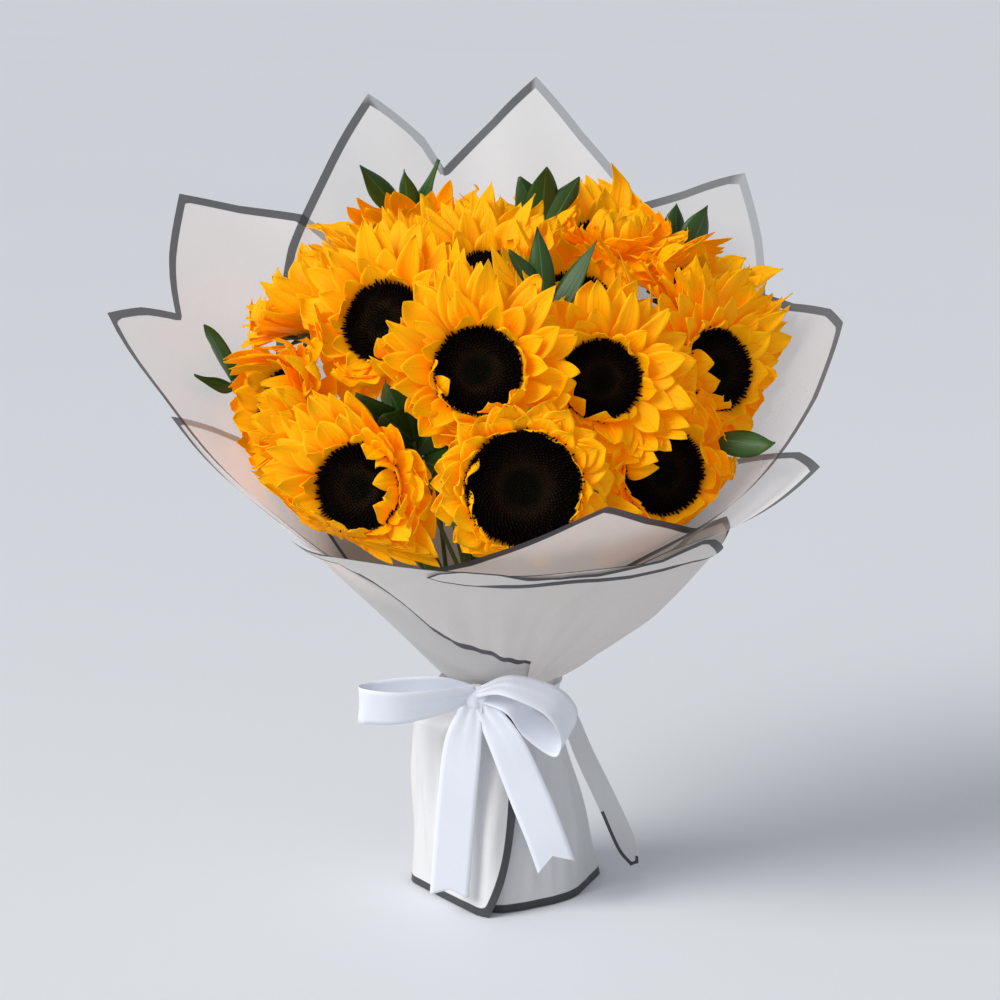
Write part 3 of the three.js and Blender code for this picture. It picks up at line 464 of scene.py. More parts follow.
# %% [markdown]
# ## Room for each flower
# In a full bunch every flower is pressed by its neighbours and by the wrap, which is why petals
# crumple forward between two heads. Each pair of neighbours shares a leaning face, and a ring of
# faces touches the wrap. A point that comes near such a face slides off it, and keeps its order on
# the way. A petal moves by whole cross-sections, so that it keeps its width.

# %% Sprays of leaves
# Each spray has its fork and its groups of leaves. A group has the way of its twig, the root of its
# leaves, their tips, their greatest width, and the group's reach as a neighbour.
LeafGroup = namedtuple("LeafGroup", "way root tips width reach", defaults=[23, 17])
SPRAYS = {
    "greens_left": ((-38, 16, 215), [
        LeafGroup([(-59, 66, 400)], (-67, 69, 468), [(-98, 50, 507), (-62, 56, 506), (-47, 52, 511)], 17),
        LeafGroup([(-118, 8, 290)], (-186, 4, 362),
                  [(-197, -12, 408), (-215, -24, 360), (-200, 14, 392)], 15)]),
    "greens_back": ((14, 27, 208), [
        LeafGroup([(20, 40, 400)], (30, 42, 462), [(14, 40, 500), (30, 40, 511), (54, 32, 500)]),
        LeafGroup([(60, 48, 270), (104, 62, 370)], (132, 79, 438), [(150, 78, 475), (118, 92, 474)])]),
    "greens_middle": ((26, -20, 220), [
        LeafGroup([(27, -70, 345)], (30, -72, 420), [(6, -84, 463), (27, -84, 476), (68, -78, 466)], 18),
        LeafGroup([(50, -44, 252), (113, -61, 293)], (140, -64, 334), [(184, -92, 333)], 19)]),
    "greens_front": ((-26, -42, 235), [
        LeafGroup([(-50, -74, 300)], (-57, -88, 336),
                  [(-82, -114, 362), (-76, -104, 384), (-33, -120, 366), (-36, -130, 326),
                   (-40, -136, 298), (-98, -108, 376)], 30, 27)]),
}
Neighbour = namedtuple("Neighbour", "centre reach facing", defaults=[None])

neighbours = {flower.number: Neighbour(flower.centre, flower.disc, flower.facing) for flower in flowers}
for spray_name, (_, groups) in SPRAYS.items():
    for g, group in enumerate(groups):
        middle = np.mean([group.root, *group.tips], axis=0)
        neighbours[spray_name, g] = Neighbour(middle, group.reach)

# %% Faces round each flower
CELL_GAP = 1.4
FACE_LEAN = math.radians(36)
FACE_SOFTNESS = 5.0
LEAST_ROOM = 0.3
# How far inside the outermost layer the petals stay, by azimuth: the flap in front takes most room.
WRAP_CLEARANCE = [[-180, 13.0], [-75, 13.0], [-60, 10.5], [-46, 10.5], [-34, 18.2], [50, 18.2],
                  [62, 15.4], [150, 15.4], [180, 13.0]]
WRAP_FACES = 36
WRAP_FACES_UP = 200.0
# How much of a slide goes forward: off the wrap, and off a neighbour that the flower stands in front
# of or behind.
LIFT_AT_WRAP, LIFT_IN_FRONT, LIFT_BEHIND = 0.2, 0.15, 0.62
UPWARDS = np.array([0.0, 0.0, 1.0])


def slide_off(normal, front, lift):
    """The way a point leaves a face: away from it, with some of it forward."""
    way = front * lift - normal
    return way / -(way @ normal)


def wrap_faces(front):
    """Flat faces that touch the inside of the wrap, evenly spread round it."""
    found = []
    for azimuth in np.arange(WRAP_FACES) * 360.0 / WRAP_FACES - 180:
        points = wrap_point([azimuth + 1, azimuth - 1, azimuth, azimuth, azimuth],
                            WRAP_FACES_UP + np.array([0, 0, 10, -10, 0]),
                            read_off(WRAP_CLEARANCE, azimuth))
        normal = unit(np.cross(points[0] - points[1], points[2] - points[3]))
        found.append((points[4], normal, slide_off(normal, front, LIFT_AT_WRAP), 0.0))
    return found


def face_between(own, other):
    gap = other.centre - own.centre
    normal = unit(gap)
    own_front = own.facing if own.facing is not None else other.facing
    other_front = other.facing if other.facing is not None else own.facing
    front = UPWARDS if own_front is None else unit(own_front + other_front)
    ahead = np.sign(own.centre @ front - other.centre @ front) or 1.0
    if own_front is not None:
        normal = unit(normal - front * (normal @ front)) * math.cos(FACE_LEAN)
        normal = normal - front * ahead * math.sin(FACE_LEAN)
    share = own.reach / (own.reach + other.reach)
    lift = LIFT_IN_FRONT if ahead > 0 else LIFT_BEHIND
    way = slide_off(normal, own.facing if own.facing is not None else front, lift)
    return (own.centre + gap * share - normal * CELL_GAP, normal, way, 1.0)


def faces_around(key):
    """Points, normals, sliding ways and softness of the faces that close a neighbour in."""
    own = neighbours[key]
    front = UPWARDS if own.facing is None else own.facing
    found = wrap_faces(front)
    found += [face_between(own, other) for name, other in neighbours.items() if name != key]
    return [np.array(column) for column in zip(*found)]


def keep_inside(points, faces, give=0.0):
    """Slides points off the faces into their room, gently at first and then to the last of it. Give is
    how far each may reach over to the neighbours, but not through the wrap."""
    points = points.copy()
    for place, normal, way, softness in [*zip(*faces)] * 2:
        room = (place - points) @ normal + give * softness
        kept = FACE_SOFTNESS ** 2 / np.maximum(2 * FACE_SOFTNESS - room, 1e-6)
        points += way * np.where(room < FACE_SOFTNESS, kept - room, 0.0)[..., None]
    for place, normal, way, softness in [*zip(*faces)] * 3:
        room = (place - points) @ normal + give * softness
        points += way * np.maximum(LEAST_ROOM - room, 0.0)[..., None]
    return points


# %% [markdown]
# ## Blades
# A petal, a bract and a leaf are all blades: a spine that bends, a width that changes along it, and a
# section that cups, ripples at its edges and carries ribs. All the blades of a flower are computed
# together, as one array with a row for each blade.


# %% A set of blades
class Blades:
    """Blades by the arrays of their roots, directions and sizes; columns across and rows along."""

    COLUMNS = 9
    ROWS = 13
    SIZE = COLUMNS * ROWS

    def __init__(self, root, heading, side, length, width, **shape):
        count = len(root)
        even = {"bend": 0, "sway": 0, "twist": 0, "cup": 0.25, "rib": 0.3, "ripple": 1.0, "phase": 0}
        get = {k: np.broadcast_to(np.asarray(shape.get(k, v), float), count) for k, v in even.items()}
        along = np.linspace(0, 1, self.ROWS)
        front = np.cross(heading, side)
        angle = get["bend"][:, None] * along
        slip = get["sway"][:, None] * along
        run = (heading[:, None] * (np.cos(angle) * np.cos(slip))[..., None]
               + front[:, None] * np.sin(angle)[..., None] + side[:, None] * np.sin(slip)[..., None])
        steps = (unit(run)[:, 1:] + unit(run)[:, :-1]) / 2 * (length / (self.ROWS - 1))[:, None, None]
        spine = root[:, None] + np.concatenate([np.zeros((count, 1, 3)), np.cumsum(steps, 1)], 1)
        lift = unit(np.cross(run, side[:, None]))
        turn = (get["twist"][:, None] * along)[..., None]
        edge_way = side[:, None] * np.cos(turn) + lift * np.sin(turn)
        face_way = lift * np.cos(turn) - side[:, None] * np.sin(turn)
        u = np.linspace(-1, 1, self.COLUMNS)[None, :, None]
        v = along[None, None, :]
        half = (width[:, None] / 2 * shape["profile"](along))[:, None, :]
        phase = get["phase"][:, None, None]
        height = (get["cup"][:, None, None] * half * u ** 2
                  + get["rib"][:, None, None] * np.cos(u * 3 * math.pi) * np.sin(math.pi * v) ** 0.5
                  + get["ripple"][:, None, None] * np.abs(u) ** 3
                  * np.sin(9 * v + phase + 1.7 * np.sign(u)) * v)
        self.points = (spine[:, None] + edge_way[:, None] * (u * half)[..., None]
                       + face_way[:, None] * height[..., None])
        self.count = count
        self.uv = np.stack(np.broadcast_arrays(u * 0.5 + 0.5 + 0 * phase, v + 0 * phase), -1)


def blades_mesh(name, sets, finish, thickness, **attributes):
    """One mesh from sets of blades, each with its points as they lie once they are pressed."""
    faces = [face for k in range(sum(blades.count for blades, _ in sets))
             for face in grid_faces(Blades.COLUMNS, Blades.ROWS, k * Blades.SIZE)]
    made = make_mesh(name, np.concatenate([points for _, points in sets]), faces, finish,
                     uv=np.concatenate([blades.uv for blades, _ in sets]), **attributes)
    thicken(made, thickness)
    return made


def petal_profile(along, point=2.0):
    """Broad at the foot, widest in the middle, with a point: slender at 1.4 and blunt at 2.6."""
    opening = 0.55 + 0.45 * np.sin(np.clip(along / 0.5, 0, 1) * math.pi / 2)
    closing = np.clip((along - 0.36) / 0.64, 0, 1)
    return np.maximum(opening * (1 - closing ** point), 0.03)


def leaf_profile(along):
    return np.maximum(np.sin(math.pi * along ** 0.82) ** 0.9, 0.04)


# %% [markdown]
# ## Ray petals
# A sunflower has several rows of ray petals on the rim of its head. The outer ones lie back, the
# inner ones are short and stand forward, and a few strays curl over the disc. They are golden and more
# orange at the foot. The darker orange along each petal's middle crease is painted shade, the paler
# gold along their thin rims is painted light for the light that shines through them, and a faint
# emission in their own gold is a painted glow.


# %% Petal finish
def petal_finish():
    f = Finish("petal_gold", roughness=0.55, subsurface_weight=0.12, subsurface_radius=(3, 1.2, 0.2),
               subsurface_scale=0.001, specular_ior_level=0.1, emission_strength=0.13)
    across, along = f.uv()
    tone = f.attribute("tone")
    veins = f.noise(f.stretched(across * 26.0, along * 1.1, tone * 40.0), 1.0, 2.0)
    patch = f.noise(f.places(), 45.0, 2.0)
    off_middle = (across - 0.5) * (across - 0.5)
    # Painted light: the rims are painted paler, as if lit through; the middle crease is painted darker
    # orange, as shade.
    rim = 1 - off_middle.below(0.205, 0.035)
    crease = off_middle.below(0.0022, 0.002)
    colour = f.ramp(along * 0.85 + (tone - 0.5) * 0.34 + (patch - 0.5) * 0.35,
                    [(0.0, (0.82, 0.25, 0.0)), (0.2, (0.97, 0.37, 0.0)), (0.5, (1.0, 0.46, 0.0)),
                     (1.0, (1.0, 0.53, 0.0))])
    veined_and_shaded = f.mix((1 - veins) * 0.5 + crease * 0.15, colour, rgb(0.86, 0.25, 0.0))
    gold = f.mix(rim * 0.3, veined_and_shaded, rgb(1.0, 0.56, 0.01))
    # Painted light: the same gold is given out as a faint glow, at the emission strength set above.
    f.paint(base_color=gold, emission_color=gold)
    f.bump(veins * 0.7 + (1 - crease) * 0.3, 0.6, 0.8)
    return f


PETAL = petal_finish()

# %% Petals of one flower
PETAL_LENGTH = 47.0
PETAL_WIDTH = 17.5
PETAL_THICK = 0.35
USUAL_DISC = 27.0                       # the radius of a disc that these sizes go with
# The large head in front has short petals, and most of those behind it have long ones.
PETAL_STRETCH = {2: 1.08, 5: 1.3, 6: 1.06, 7: 0.43, 8: 1.25, 9: 1.24, 10: 1.25, 11: 1.2, 12: 1.3,
                 13: 1.22, 14: 1.22, 15: 1.05}
# Heads that lean on others hold their petals up like a cup: degrees more of rise for the petals on
# the side to the front, and for those on the far side.
CUPPED = {2: (0, 8), 4: (0, 8), 5: (16, 20), 8: (0, 6), 9: (34, 32), 10: (16, 30), 11: (62, 28),
          12: (50, 34), 13: (24, 28), 14: (16, 32), 15: (30, 30)}
TO_THE_FRONT = np.array([0.0, -1.0, 0.0])
# For each row: how many petals, their rise from the disc's plane, bend, share of the full length,
# and depth of their feet behind the disc's rim.
PETAL_ROWS = [(19, 2, -14, 1.0, -7.0), (19, 15, -14, 0.98, -6.0), (18, 29, -22, 0.88, -4.9),
              (16, 44, -20, 0.64, -3.7), (11, 60, 6, 0.42, -2.6)]
# Strays curl over the disc: their rise, bend, length and depth, and by flower the sides of the disc
# that they stand on, in degrees.
STRAY_ROW = (66, 62, 0.55, -2.5)
NEAR_SIDE = (196, 217, 238, 259, 280, 301, 322, 343)
STRAYS = {1: (-72, 205), 2: (-62, -38, 172), 3: (196, 222, 262, 284), 4: (166, 196, 232, 250),
          5: (20, -4, -24, 44, -46), 6: (64, 40, 16, -10, -32), 7: (160, 196, 340),
          8: (150, 172, 122), 9: (200, 232, 300, 335), 10: (215, 260, 300), 11: NEAR_SIDE,
          12: NEAR_SIDE, 13: NEAR_SIDE, 14: NEAR_SIDE, 15: (90, 250)}
OVERLAP, STRAY_OVERLAP = 13.0, 4.0      # how far a petal may reach over to the neighbours
SQUASH = 0.15                           # how far a petal's section is flattened rather than moved
RIM_CLEARANCE, DEEPEST = 2.5, -9.0      # how petals keep off their disc, and how far back they go
LEAN_FROM, LEAN_OVER, LEAN_IN = 8.0, 12.0, 9.0      # above the disc they may lean in


def clear_of_disc(points, flower):
    """Moves petals off their own disc, unless they lean over it well above the florets."""
    offset = points - flower.centre
    depth = offset @ flower.facing
    radial = offset - flower.facing * depth[..., None]
    radius = np.linalg.norm(radial, axis=-1)
    least = (flower.disc - 1 + RIM_CLEARANCE * np.clip((radius - flower.disc) / 3 + 1, 0, 1)
             - LEAN_IN * np.clip((depth - LEAN_FROM) / LEAN_OVER, 0, 1))
    grown = np.maximum(radius, least)
    return (flower.centre + radial * (grown / np.maximum(radius, 1e-6))[..., None]
            + flower.facing * np.maximum(depth, DEEPEST)[..., None])


def pressed(points, faces, give):
    """Moves each cross-section of a petal nearly as one, so that its neighbours don't squash its
    width. The wrap's faces come first in the list, and they press it a second time."""
    kept = keep_inside(points, faces, give)
    middle = Blades.COLUMNS // 2
    as_one = blend_between(points + (kept - points)[:, middle:middle + 1], kept, SQUASH)
    return keep_inside(as_one, [column[:WRAP_FACES] for column in faces])


def petal_row(flower, draw, turn, rise, bend, share, depth):
    """One row of petals, or the strays, as they would grow with nothing beside them."""
    count = len(turn)
    angle = np.radians(rise + draw.normal(0, 7, count))[:, None]
    radial = flower.way(turn)
    size = math.sqrt(flower.disc / USUAL_DISC)
    length = PETAL_LENGTH * size * share * PETAL_STRETCH.get(flower.number, 1.0)
    point = draw.uniform(1.8, 3.6, count)[:, None]
    return Blades(
        root=flower.point(turn, flower.disc - 1.2, depth + draw.uniform(-0.7, 0.7, count)),
        heading=radial * np.cos(angle) + flower.facing * np.sin(angle),
        side=unit(np.cross(flower.facing, radial)), length=length * draw.uniform(0.84, 1.1, count),
        width=PETAL_WIDTH * size * draw.uniform(0.82, 1.2, count),
        profile=lambda along: petal_profile(along, point),
        bend=np.radians(bend + draw.normal(0, 15, count)), sway=np.radians(draw.normal(0, 10, count)),
        twist=np.radians(draw.normal(0, 14, count)), cup=draw.uniform(0.08, 0.36, count), rib=0.42,
        ripple=draw.uniform(0.6, 2.4, count), phase=draw.uniform(0, 6.3, count))


def petals_of(flower):
    draw = np.random.default_rng(1700 + flower.number)
    faces = faces_around(flower.number)
    near, far = CUPPED.get(flower.number, (0, 0))
    sets = []
    for row, (count, rise, *rest) in enumerate(PETAL_ROWS):
        turn = (np.arange(count) + 0.37 * row + draw.uniform(-0.32, 0.32, count)) * 2 * math.pi / count
        near_share = np.clip(flower.way(turn) @ TO_THE_FRONT, 0, 1)
        far_share = np.clip((np.sin(turn) + 0.5) / 1.3, 0, 1) * (1 - near_share)
        cupped = (near * near_share + far * far_share) * (1 - row / len(PETAL_ROWS))
        blades = petal_row(flower, draw, turn, rise + cupped, *rest)
        give = draw.uniform(0, OVERLAP, count)[:, None, None]
        sets.append((blades, clear_of_disc(pressed(blades.points, faces, give), flower)))
    strays = petal_row(flower, draw, np.radians(STRAYS[flower.number]), *STRAY_ROW)
    sets.append((strays, pressed(strays.points, faces, STRAY_OVERLAP)))
    tones = [np.repeat(draw.random(blades.count), Blades.SIZE) for blades, _ in sets]
    petals = blades_mesh(f"ray_petals_{flower.number:02d}", sets, PETAL, PETAL_THICK,
                         tone=np.concatenate(tones))
    hand_over(petals, "petal", f"sunflower_{flower.number:02d}_petals")


for flower in flowers:
    petals_of(flower)
print("petals on a flower:", sum(row[0] for row in PETAL_ROWS))

# %% [markdown]
# ## Seed heads
# The disc is a low dome of hundreds of florets in the spiral that plants use: each floret stands
# 137.5 degrees on from the last one, and further out as the square root of its number. Geometry
# Nodes make that spiral from the floret's index. The florets at the rim are largest and lean out,
# and those in a ring nearer the middle are still small buds.


# %% Disc finish
def disc_finish():
    f = Finish("seed_head_brown", roughness=0.9, specular_ior_level=0.06)
    ring = f.attribute("ring")
    grain = f.noise(f.places(), 900.0, 1.0)
    stops = [(0.0, (0.008, 0.007, 0.003)), (0.28, (0.005, 0.004, 0.002)), (0.46, (0.020, 0.010, 0.005)),
             (0.62, (0.010, 0.005, 0.003)), (0.85, (0.004, 0.002, 0.001)), (1.0, (0.008, 0.003, 0.002))]
    f.paint(base_color=f.ramp(ring + (grain - 0.5) * 0.16, stops))
    f.bump(grain, 0.4)
    return f


DISC = disc_finish()


# %% The spiral of florets
class GeometryRecipe(Recipe):
    """A Geometry Nodes tree with named inputs."""

    PREFIX = "GeometryNode"

    def __init__(self, name, **inputs):
        super().__init__(bpy.data.node_groups.new(name, "GeometryNodeTree"))
        self.keys = {}
        for key, kind in {"Geometry": "Geometry", **inputs}.items():
            made = self.tree.interface.new_socket(key, in_out="INPUT", socket_type="NodeSocket" + kind)
            self.keys[key] = made.identifier
        self.tree.interface.new_socket("Geometry", in_out="OUTPUT", socket_type="NodeSocketGeometry")
        self.source = self.tree.nodes.new("NodeGroupInput")
        self.drain = self.tree.nodes.new("NodeGroupOutput")

    def given(self, key):
        return Wire(self, self.source.outputs[key])

    def give_out(self, geometry, *others):
        """Dresses the geometry in the given material, and gives it out together with the others."""
        dressed = self.node("SetMaterial", Geometry=geometry, Material=self.given("Material"))
        both = self.node("JoinGeometry", {}, dressed)
        for other in others:
            self.fill(both.socket.node.inputs[0], other)
        self.fill(self.drain.inputs[0], both)

    def run(self, piece, **values):
        """Puts the tree on a piece with its inputs, and makes the result plain mesh."""
        modifier = piece.modifiers.new("nodes", "NODES")
        modifier.node_group = self.tree
        for key, value in values.items():
            modifier[self.keys[key]] = value
        piece.update_tag()
        settle_modifiers(piece)


GOLDEN_TURN = math.radians(137.508)
DOME = (0.06, 0.16, 0.06)               # of the disc's radius: middle, shoulder, fall at the rim
BUD_RING = 0.3                          # where on the disc the florets are smallest
FLORET_TOP_R, FLORET_FOOT_R = 0.28, 0.85


def floret_tree():
    n = GeometryRecipe("floret_spiral", Count="Int", Radius="Float", Length="Float", Seed="Int",
                       Place="Vector", Turn="Rotation", Material="Material")
    count, radius = n.given("Count"), n.given("Radius")
    index = n.node("InputIndex")
    share = ((index + 0.5) / count).root()
    turn = index * GOLDEN_TURN
    cosine, sine = turn.cosine(), turn.sine()
    reach = share * radius
    dome = (share * math.pi).sine() * share * DOME[1] + (share ** 4.0 * -DOME[2] + DOME[0])
    place = n.node("ShaderNodeCombineXYZ", {}, reach * cosine, reach * sine, dome * radius)
    points = n.node("SetPosition", Geometry=n.node("MeshLine", Count=count), Position=place)
    lean = share ** 3.0 * 0.85
    stands = n.node("ShaderNodeCombineXYZ", {}, lean * cosine, lean * sine, 1.0)
    rotation = n.node("FunctionNodeAlignRotationToVector", {"axis": "Z"}, Vector=stands)
    size = abs(share - BUD_RING) ** 0.8 * 1.1 + 0.55
    jitter = n.node("FunctionNodeRandomValue", {"data_type": "FLOAT"}, output=1, i2=0.7, i3=1.3,
                    Seed=n.given("Seed"))
    floret = n.node("MeshCone", {"fill_type": "NGON"}, Vertices=5, Radius_Top=FLORET_TOP_R * MM,
                    Radius_Bottom=FLORET_FOOT_R * MM, Depth=n.given("Length"))
    instances = n.node("InstanceOnPoints", Points=points, Instance=floret, Rotation=rotation,
                       Scale=size * jitter)
    marked = n.node("StoreNamedAttribute", {"data_type": "FLOAT", "domain": "INSTANCE"},
                    Geometry=instances, Name="ring", Value=share)
    real = n.node("RealizeInstances", Geometry=marked)
    placed = n.node("Transform", Geometry=real, Translation=n.given("Place"), Rotation=n.given("Turn"))
    n.give_out(placed, n.given("Geometry"))
    return n


# %% One seed head
FLORET_PITCH = 1.95
FLORET_LENGTH = 3.4
HEAD_SIDES, HEAD_RINGS = 48, 12
FLORETS = floret_tree()


def florets_on(disc):
    return int(math.pi * disc ** 2 / FLORET_PITCH ** 2)


def seed_head(flower):
    share = np.linspace(0.02, 1, HEAD_RINGS)
    dome = DOME[0] + DOME[1] * np.sin(math.pi * share) * share - DOME[2] * share ** 4
    radii = flower.disc * np.concatenate([share, [0.97, 0.9]])
    depths = np.concatenate([flower.disc * dome, [-1.5, -3.0]])
    points = flower.point(turns_round(HEAD_SIDES)[:, None], radii, depths)
    ring = np.tile(np.concatenate([share, [1, 1]]), HEAD_SIDES)
    head = make_grid(f"seed_head_{flower.number:02d}", points, DISC, capped=True, inside_out=True,
                     ring=ring)
    stand = Matrix(np.array([flower.across, flower.over, flower.facing]).T.tolist()).to_quaternion()
    FLORETS.run(head, Count=florets_on(flower.disc), Radius=(flower.disc - 0.4) * MM,
                Length=FLORET_LENGTH * MM, Seed=flower.number, Place=in_metres(flower.centre),
                Turn=stand.to_euler(), Material=DISC.material)
    hand_over(head, "seed_disc", f"sunflower_{flower.number:02d}_disc")


for flower in flowers:
    seed_head(flower)
print("florets on the largest head:", florets_on(max(flower.disc for flower in flowers)))

# %% [markdown]
# ## Stems and calyxes
# A stem is a swept tube. Its line is traced from the solid stem: a cut through the solid at a few
# heights gives the middle of each section. Behind the head it swells into the calyx, whose pointed
# bracts lie against the petals' backs.


# %% Green finishes
def stem_finish():
    f = Finish("stem_green", roughness=0.68, specular_ior_level=0.3, sheen_weight=0.25)
    patch = f.noise(f.places(), 90.0)
    hair = f.noise(f.places(), 1600.0, 1.0)
    f.paint(base_color=f.mix(patch, rgb(0.075, 0.135, 0.028), rgb(0.15, 0.22, 0.06)))
    f.bump(hair, 0.35)
    return f


def leaf_finish():
    f = Finish("leaf_green", roughness=0.36, specular_ior_level=0.34)
    across, along = f.uv()
    veins = f.noise(f.stretched(across * 14.0, along * 0.8), 1.0, 2.0)
    rib = ((across - 0.5) * (across - 0.5)).below(0.0006, 0.0004)
    patch = f.noise(f.places(), 40.0)
    deep = f.mix(patch, rgb(0.018, 0.062, 0.009), rgb(0.042, 0.115, 0.018))
    lined = f.mix((veins - 0.35) * 0.5, deep, rgb(0.045, 0.11, 0.035))
    f.paint(base_color=f.mix(rib * 0.7, lined, rgb(0.10, 0.19, 0.06)), roughness=0.32 + patch * 0.16)
    f.bump(veins * 0.7 + rib * 0.3, 0.45, 0.8)
    return f


STEM, LEAF = stem_finish(), leaf_finish()


# %% Swept tubes
def smooth_line(points, count):
    """Evenly counted points on a smooth curve through the given ones."""
    points = np.array(points, float)
    ends = np.concatenate([[2 * points[0] - points[1]], points, [2 * points[-1] - points[-2]]])
    where = np.linspace(0, len(points) - 1 - 1e-9, count)
    i, t = where.astype(int), (where % 1)[:, None]
    a, b, c, d = (ends[i + k] for k in range(4))
    return (2 * b + (c - a) * t + (2 * a - 5 * b + 4 * c - d) * t ** 2
            + (3 * b - a - 3 * c + d) * t ** 3) / 2


NO_UV = (0.0, 0.0)


def swept_tube(name, line, radii, finish, sides=12):
    """A closed tube along a line. Its frame is carried from point to point, so it doesn't twist."""
    run = unit(np.gradient(line, axis=0))
    side = unit(np.cross(run[0], [0.31, 0.95, 0.02]))
    turn = turns_round(sides)
    rings = []
    for place, way, radius in zip(line, run, radii):
        side = unit(side - way * (side @ way))
        ring = np.outer(np.cos(turn), side) + np.outer(np.sin(turn), np.cross(way, side))
        rings.append(place + radius * ring)
    return make_grid(name, np.array(rings).transpose(1, 0, 2), finish, capped=True, uv=NO_UV)


def middle_at(node, height):
    """The middle of a solid's section at a height."""
    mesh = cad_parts[node].data
    points = frame_points(node)
    ends = np.zeros(2 * len(mesh.edges), int)
    mesh.edges.foreach_get("vertices", ends)
    low, high = points[ends[::2]], points[ends[1::2]]
    cut = (low[:, 2] - height) * (high[:, 2] - height) < 0
    share = (height - low[cut, 2]) / (high[cut, 2] - low[cut, 2])
    return blend_between(low[cut], high[cut], share[:, None]).mean(0)


# %% Stems with their calyx
STEM_R = 3.5
STEM_POINTS = 46
SLICES = (0.5, 70.0, 140.0, 182.0)
CALYX_BACK, NECK_BACK = -24.0, -46.0
BRACTS_ROUND = 12                       # bracts in each of their two rounds
BRACT_WIDTH, BRACT_THICK = 10.0, 0.5


def lower_line(node):
    """The lower part of a stem's line, down to the floor."""
    low = [middle_at(node, height) for height in SLICES]
    low[0][2] = 0.0
    return low


def bracts_of(flower):
    draw = np.random.default_rng(4300 + flower.number)
    count = 2 * BRACTS_ROUND
    turn = (np.arange(count) + draw.uniform(-0.2, 0.2, count)) * 2 * math.pi / BRACTS_ROUND
    outer = np.repeat([0, 1], BRACTS_ROUND)
    radial = flower.way(turn)
    blades = Blades(
        root=flower.point(turn, flower.disc * (0.72 - 0.14 * outer), -11.5 - 2.5 * outer),
        heading=unit(radial * (0.95 + 0.05 * outer)[:, None]
                     + flower.facing * (0.25 - 0.35 * outer)[:, None]),
        side=unit(np.cross(flower.facing, radial)),
        length=draw.uniform(17, 23, count) * flower.disc / USUAL_DISC,
        width=np.full(count, BRACT_WIDTH), profile=petal_profile,
        bend=np.radians(draw.normal(14, 9, count)), cup=0.2, rib=0.15)
    kept = keep_inside(blades.points, faces_around(flower.number))
    return blades_mesh("bracts", [(blades, kept)], STEM, BRACT_THICK)


def calyx_cup(flower):
    profile = [(STEM_R, CALYX_BACK - 6), (STEM_R + 1.5, CALYX_BACK), (flower.disc * 0.42, -19.5),
               (flower.disc * 0.72, -15.5), (flower.disc * 0.9, -11), (flower.disc * 0.93, -8)]
    radii, depths = smooth_line(profile, 14).T
    points = flower.point(turns_round(24)[:, None], radii, depths)
    return make_grid("cup", points, STEM, capped=True, uv=NO_UV)


def stem_of(flower):
    node = f"sunflower_{flower.number:02d}_stem"
    neck = [flower.centre + flower.facing * depth for depth in (NECK_BACK, CALYX_BACK)]
    line = smooth_line([*lower_line(node), *neck], STEM_POINTS)
    radii = STEM_R * (1 + 0.06 * np.sin(np.arange(STEM_POINTS) * 1.7 + flower.number))
    tube = swept_tube(f"flower_stem_{flower.number:02d}", line, radii, STEM)
    stem = joined([tube, calyx_cup(flower), bracts_of(flower)])
    hand_over(stem, "stem", node)


for flower in flowers:
    stem_of(flower)

# %% [markdown]
# ## Leafy sprays
# The greens are stiff pointed leaves with a waxy face, in groups on a branched twig. Their veins
# run lengthways, so the same stretched noise that ribs a petal also veins a leaf.

# %% Sprays
SPRAY_R, TWIG_FOOT_R, TWIG_TIP_R = 2.0, 1.7, 1.1
LEAF_THICK = 0.6
LEAF_SPACING = 5.0
LEAF_OVERLAP = 1.5


def leaves_of(name, g, group):
    draw = np.random.default_rng(900 + 10 * list(SPRAYS).index(name) + g)
    root, tips = np.array(group.root, float), np.array(group.tips, float)
    twig = unit(root - np.array(group.way[-1], float))
    count = len(tips)
    feet = root - twig * np.arange(count)[:, None] * LEAF_SPACING
    reach = tips - feet
    length = np.linalg.norm(reach, axis=1)
    heading = reach / length[:, None]
    outward = unit(np.array([root[0] * 0.4, root[1] * 0.4 - 90, 50.0]))
    blades = Blades(
        root=feet, heading=heading, side=unit(np.cross(heading, outward)), length=length,
        width=np.minimum(group.width, length * 0.55), profile=leaf_profile,
        bend=draw.normal(0, 0.35, count), twist=draw.normal(0, 0.4, count), cup=0.36, rib=0.0,
        ripple=1.4, phase=draw.uniform(0, 6, count))
    kept = keep_inside(blades.points, faces_around((name, g)), LEAF_OVERLAP)
    return blades_mesh("leaves", [(blades, kept)], LEAF, LEAF_THICK)


def spray_of(name, fork, groups):
    low = lower_line(name)
    fork = np.array(fork, float)
    parts = [swept_tube(f"{name}_spray", smooth_line([*low, fork], 30), np.full(30, SPRAY_R), STEM, 10)]
    for g, group in enumerate(groups):
        twig = smooth_line([blend_between(low[-1], fork, 0.93), *group.way, group.root], 24)
        parts.append(swept_tube("twig", twig, np.linspace(TWIG_FOOT_R, TWIG_TIP_R, 24), STEM, 8))
        parts.append(leaves_of(name, g, group))
    hand_over(joined(parts), "leaf", name)


for spray_name, spray in SPRAYS.items():
    spray_of(spray_name, *spray)

# %% [markdown]
# ## Frosted film
# The wrap is square sheets of frosted film. Each has a dark printed border, so each sheet stores the
# distance to its edge at every point, and the material draws the border from that number. The film
# is thin: it shows what is behind it, paler with each layer. Where it is dense it is painted greyer,
# as shade, and a faint warm emission is a painted glow for the light that shines through it.


# %% Film finish
BORDER = 6.2                            # millimetres of print along a sheet's edge


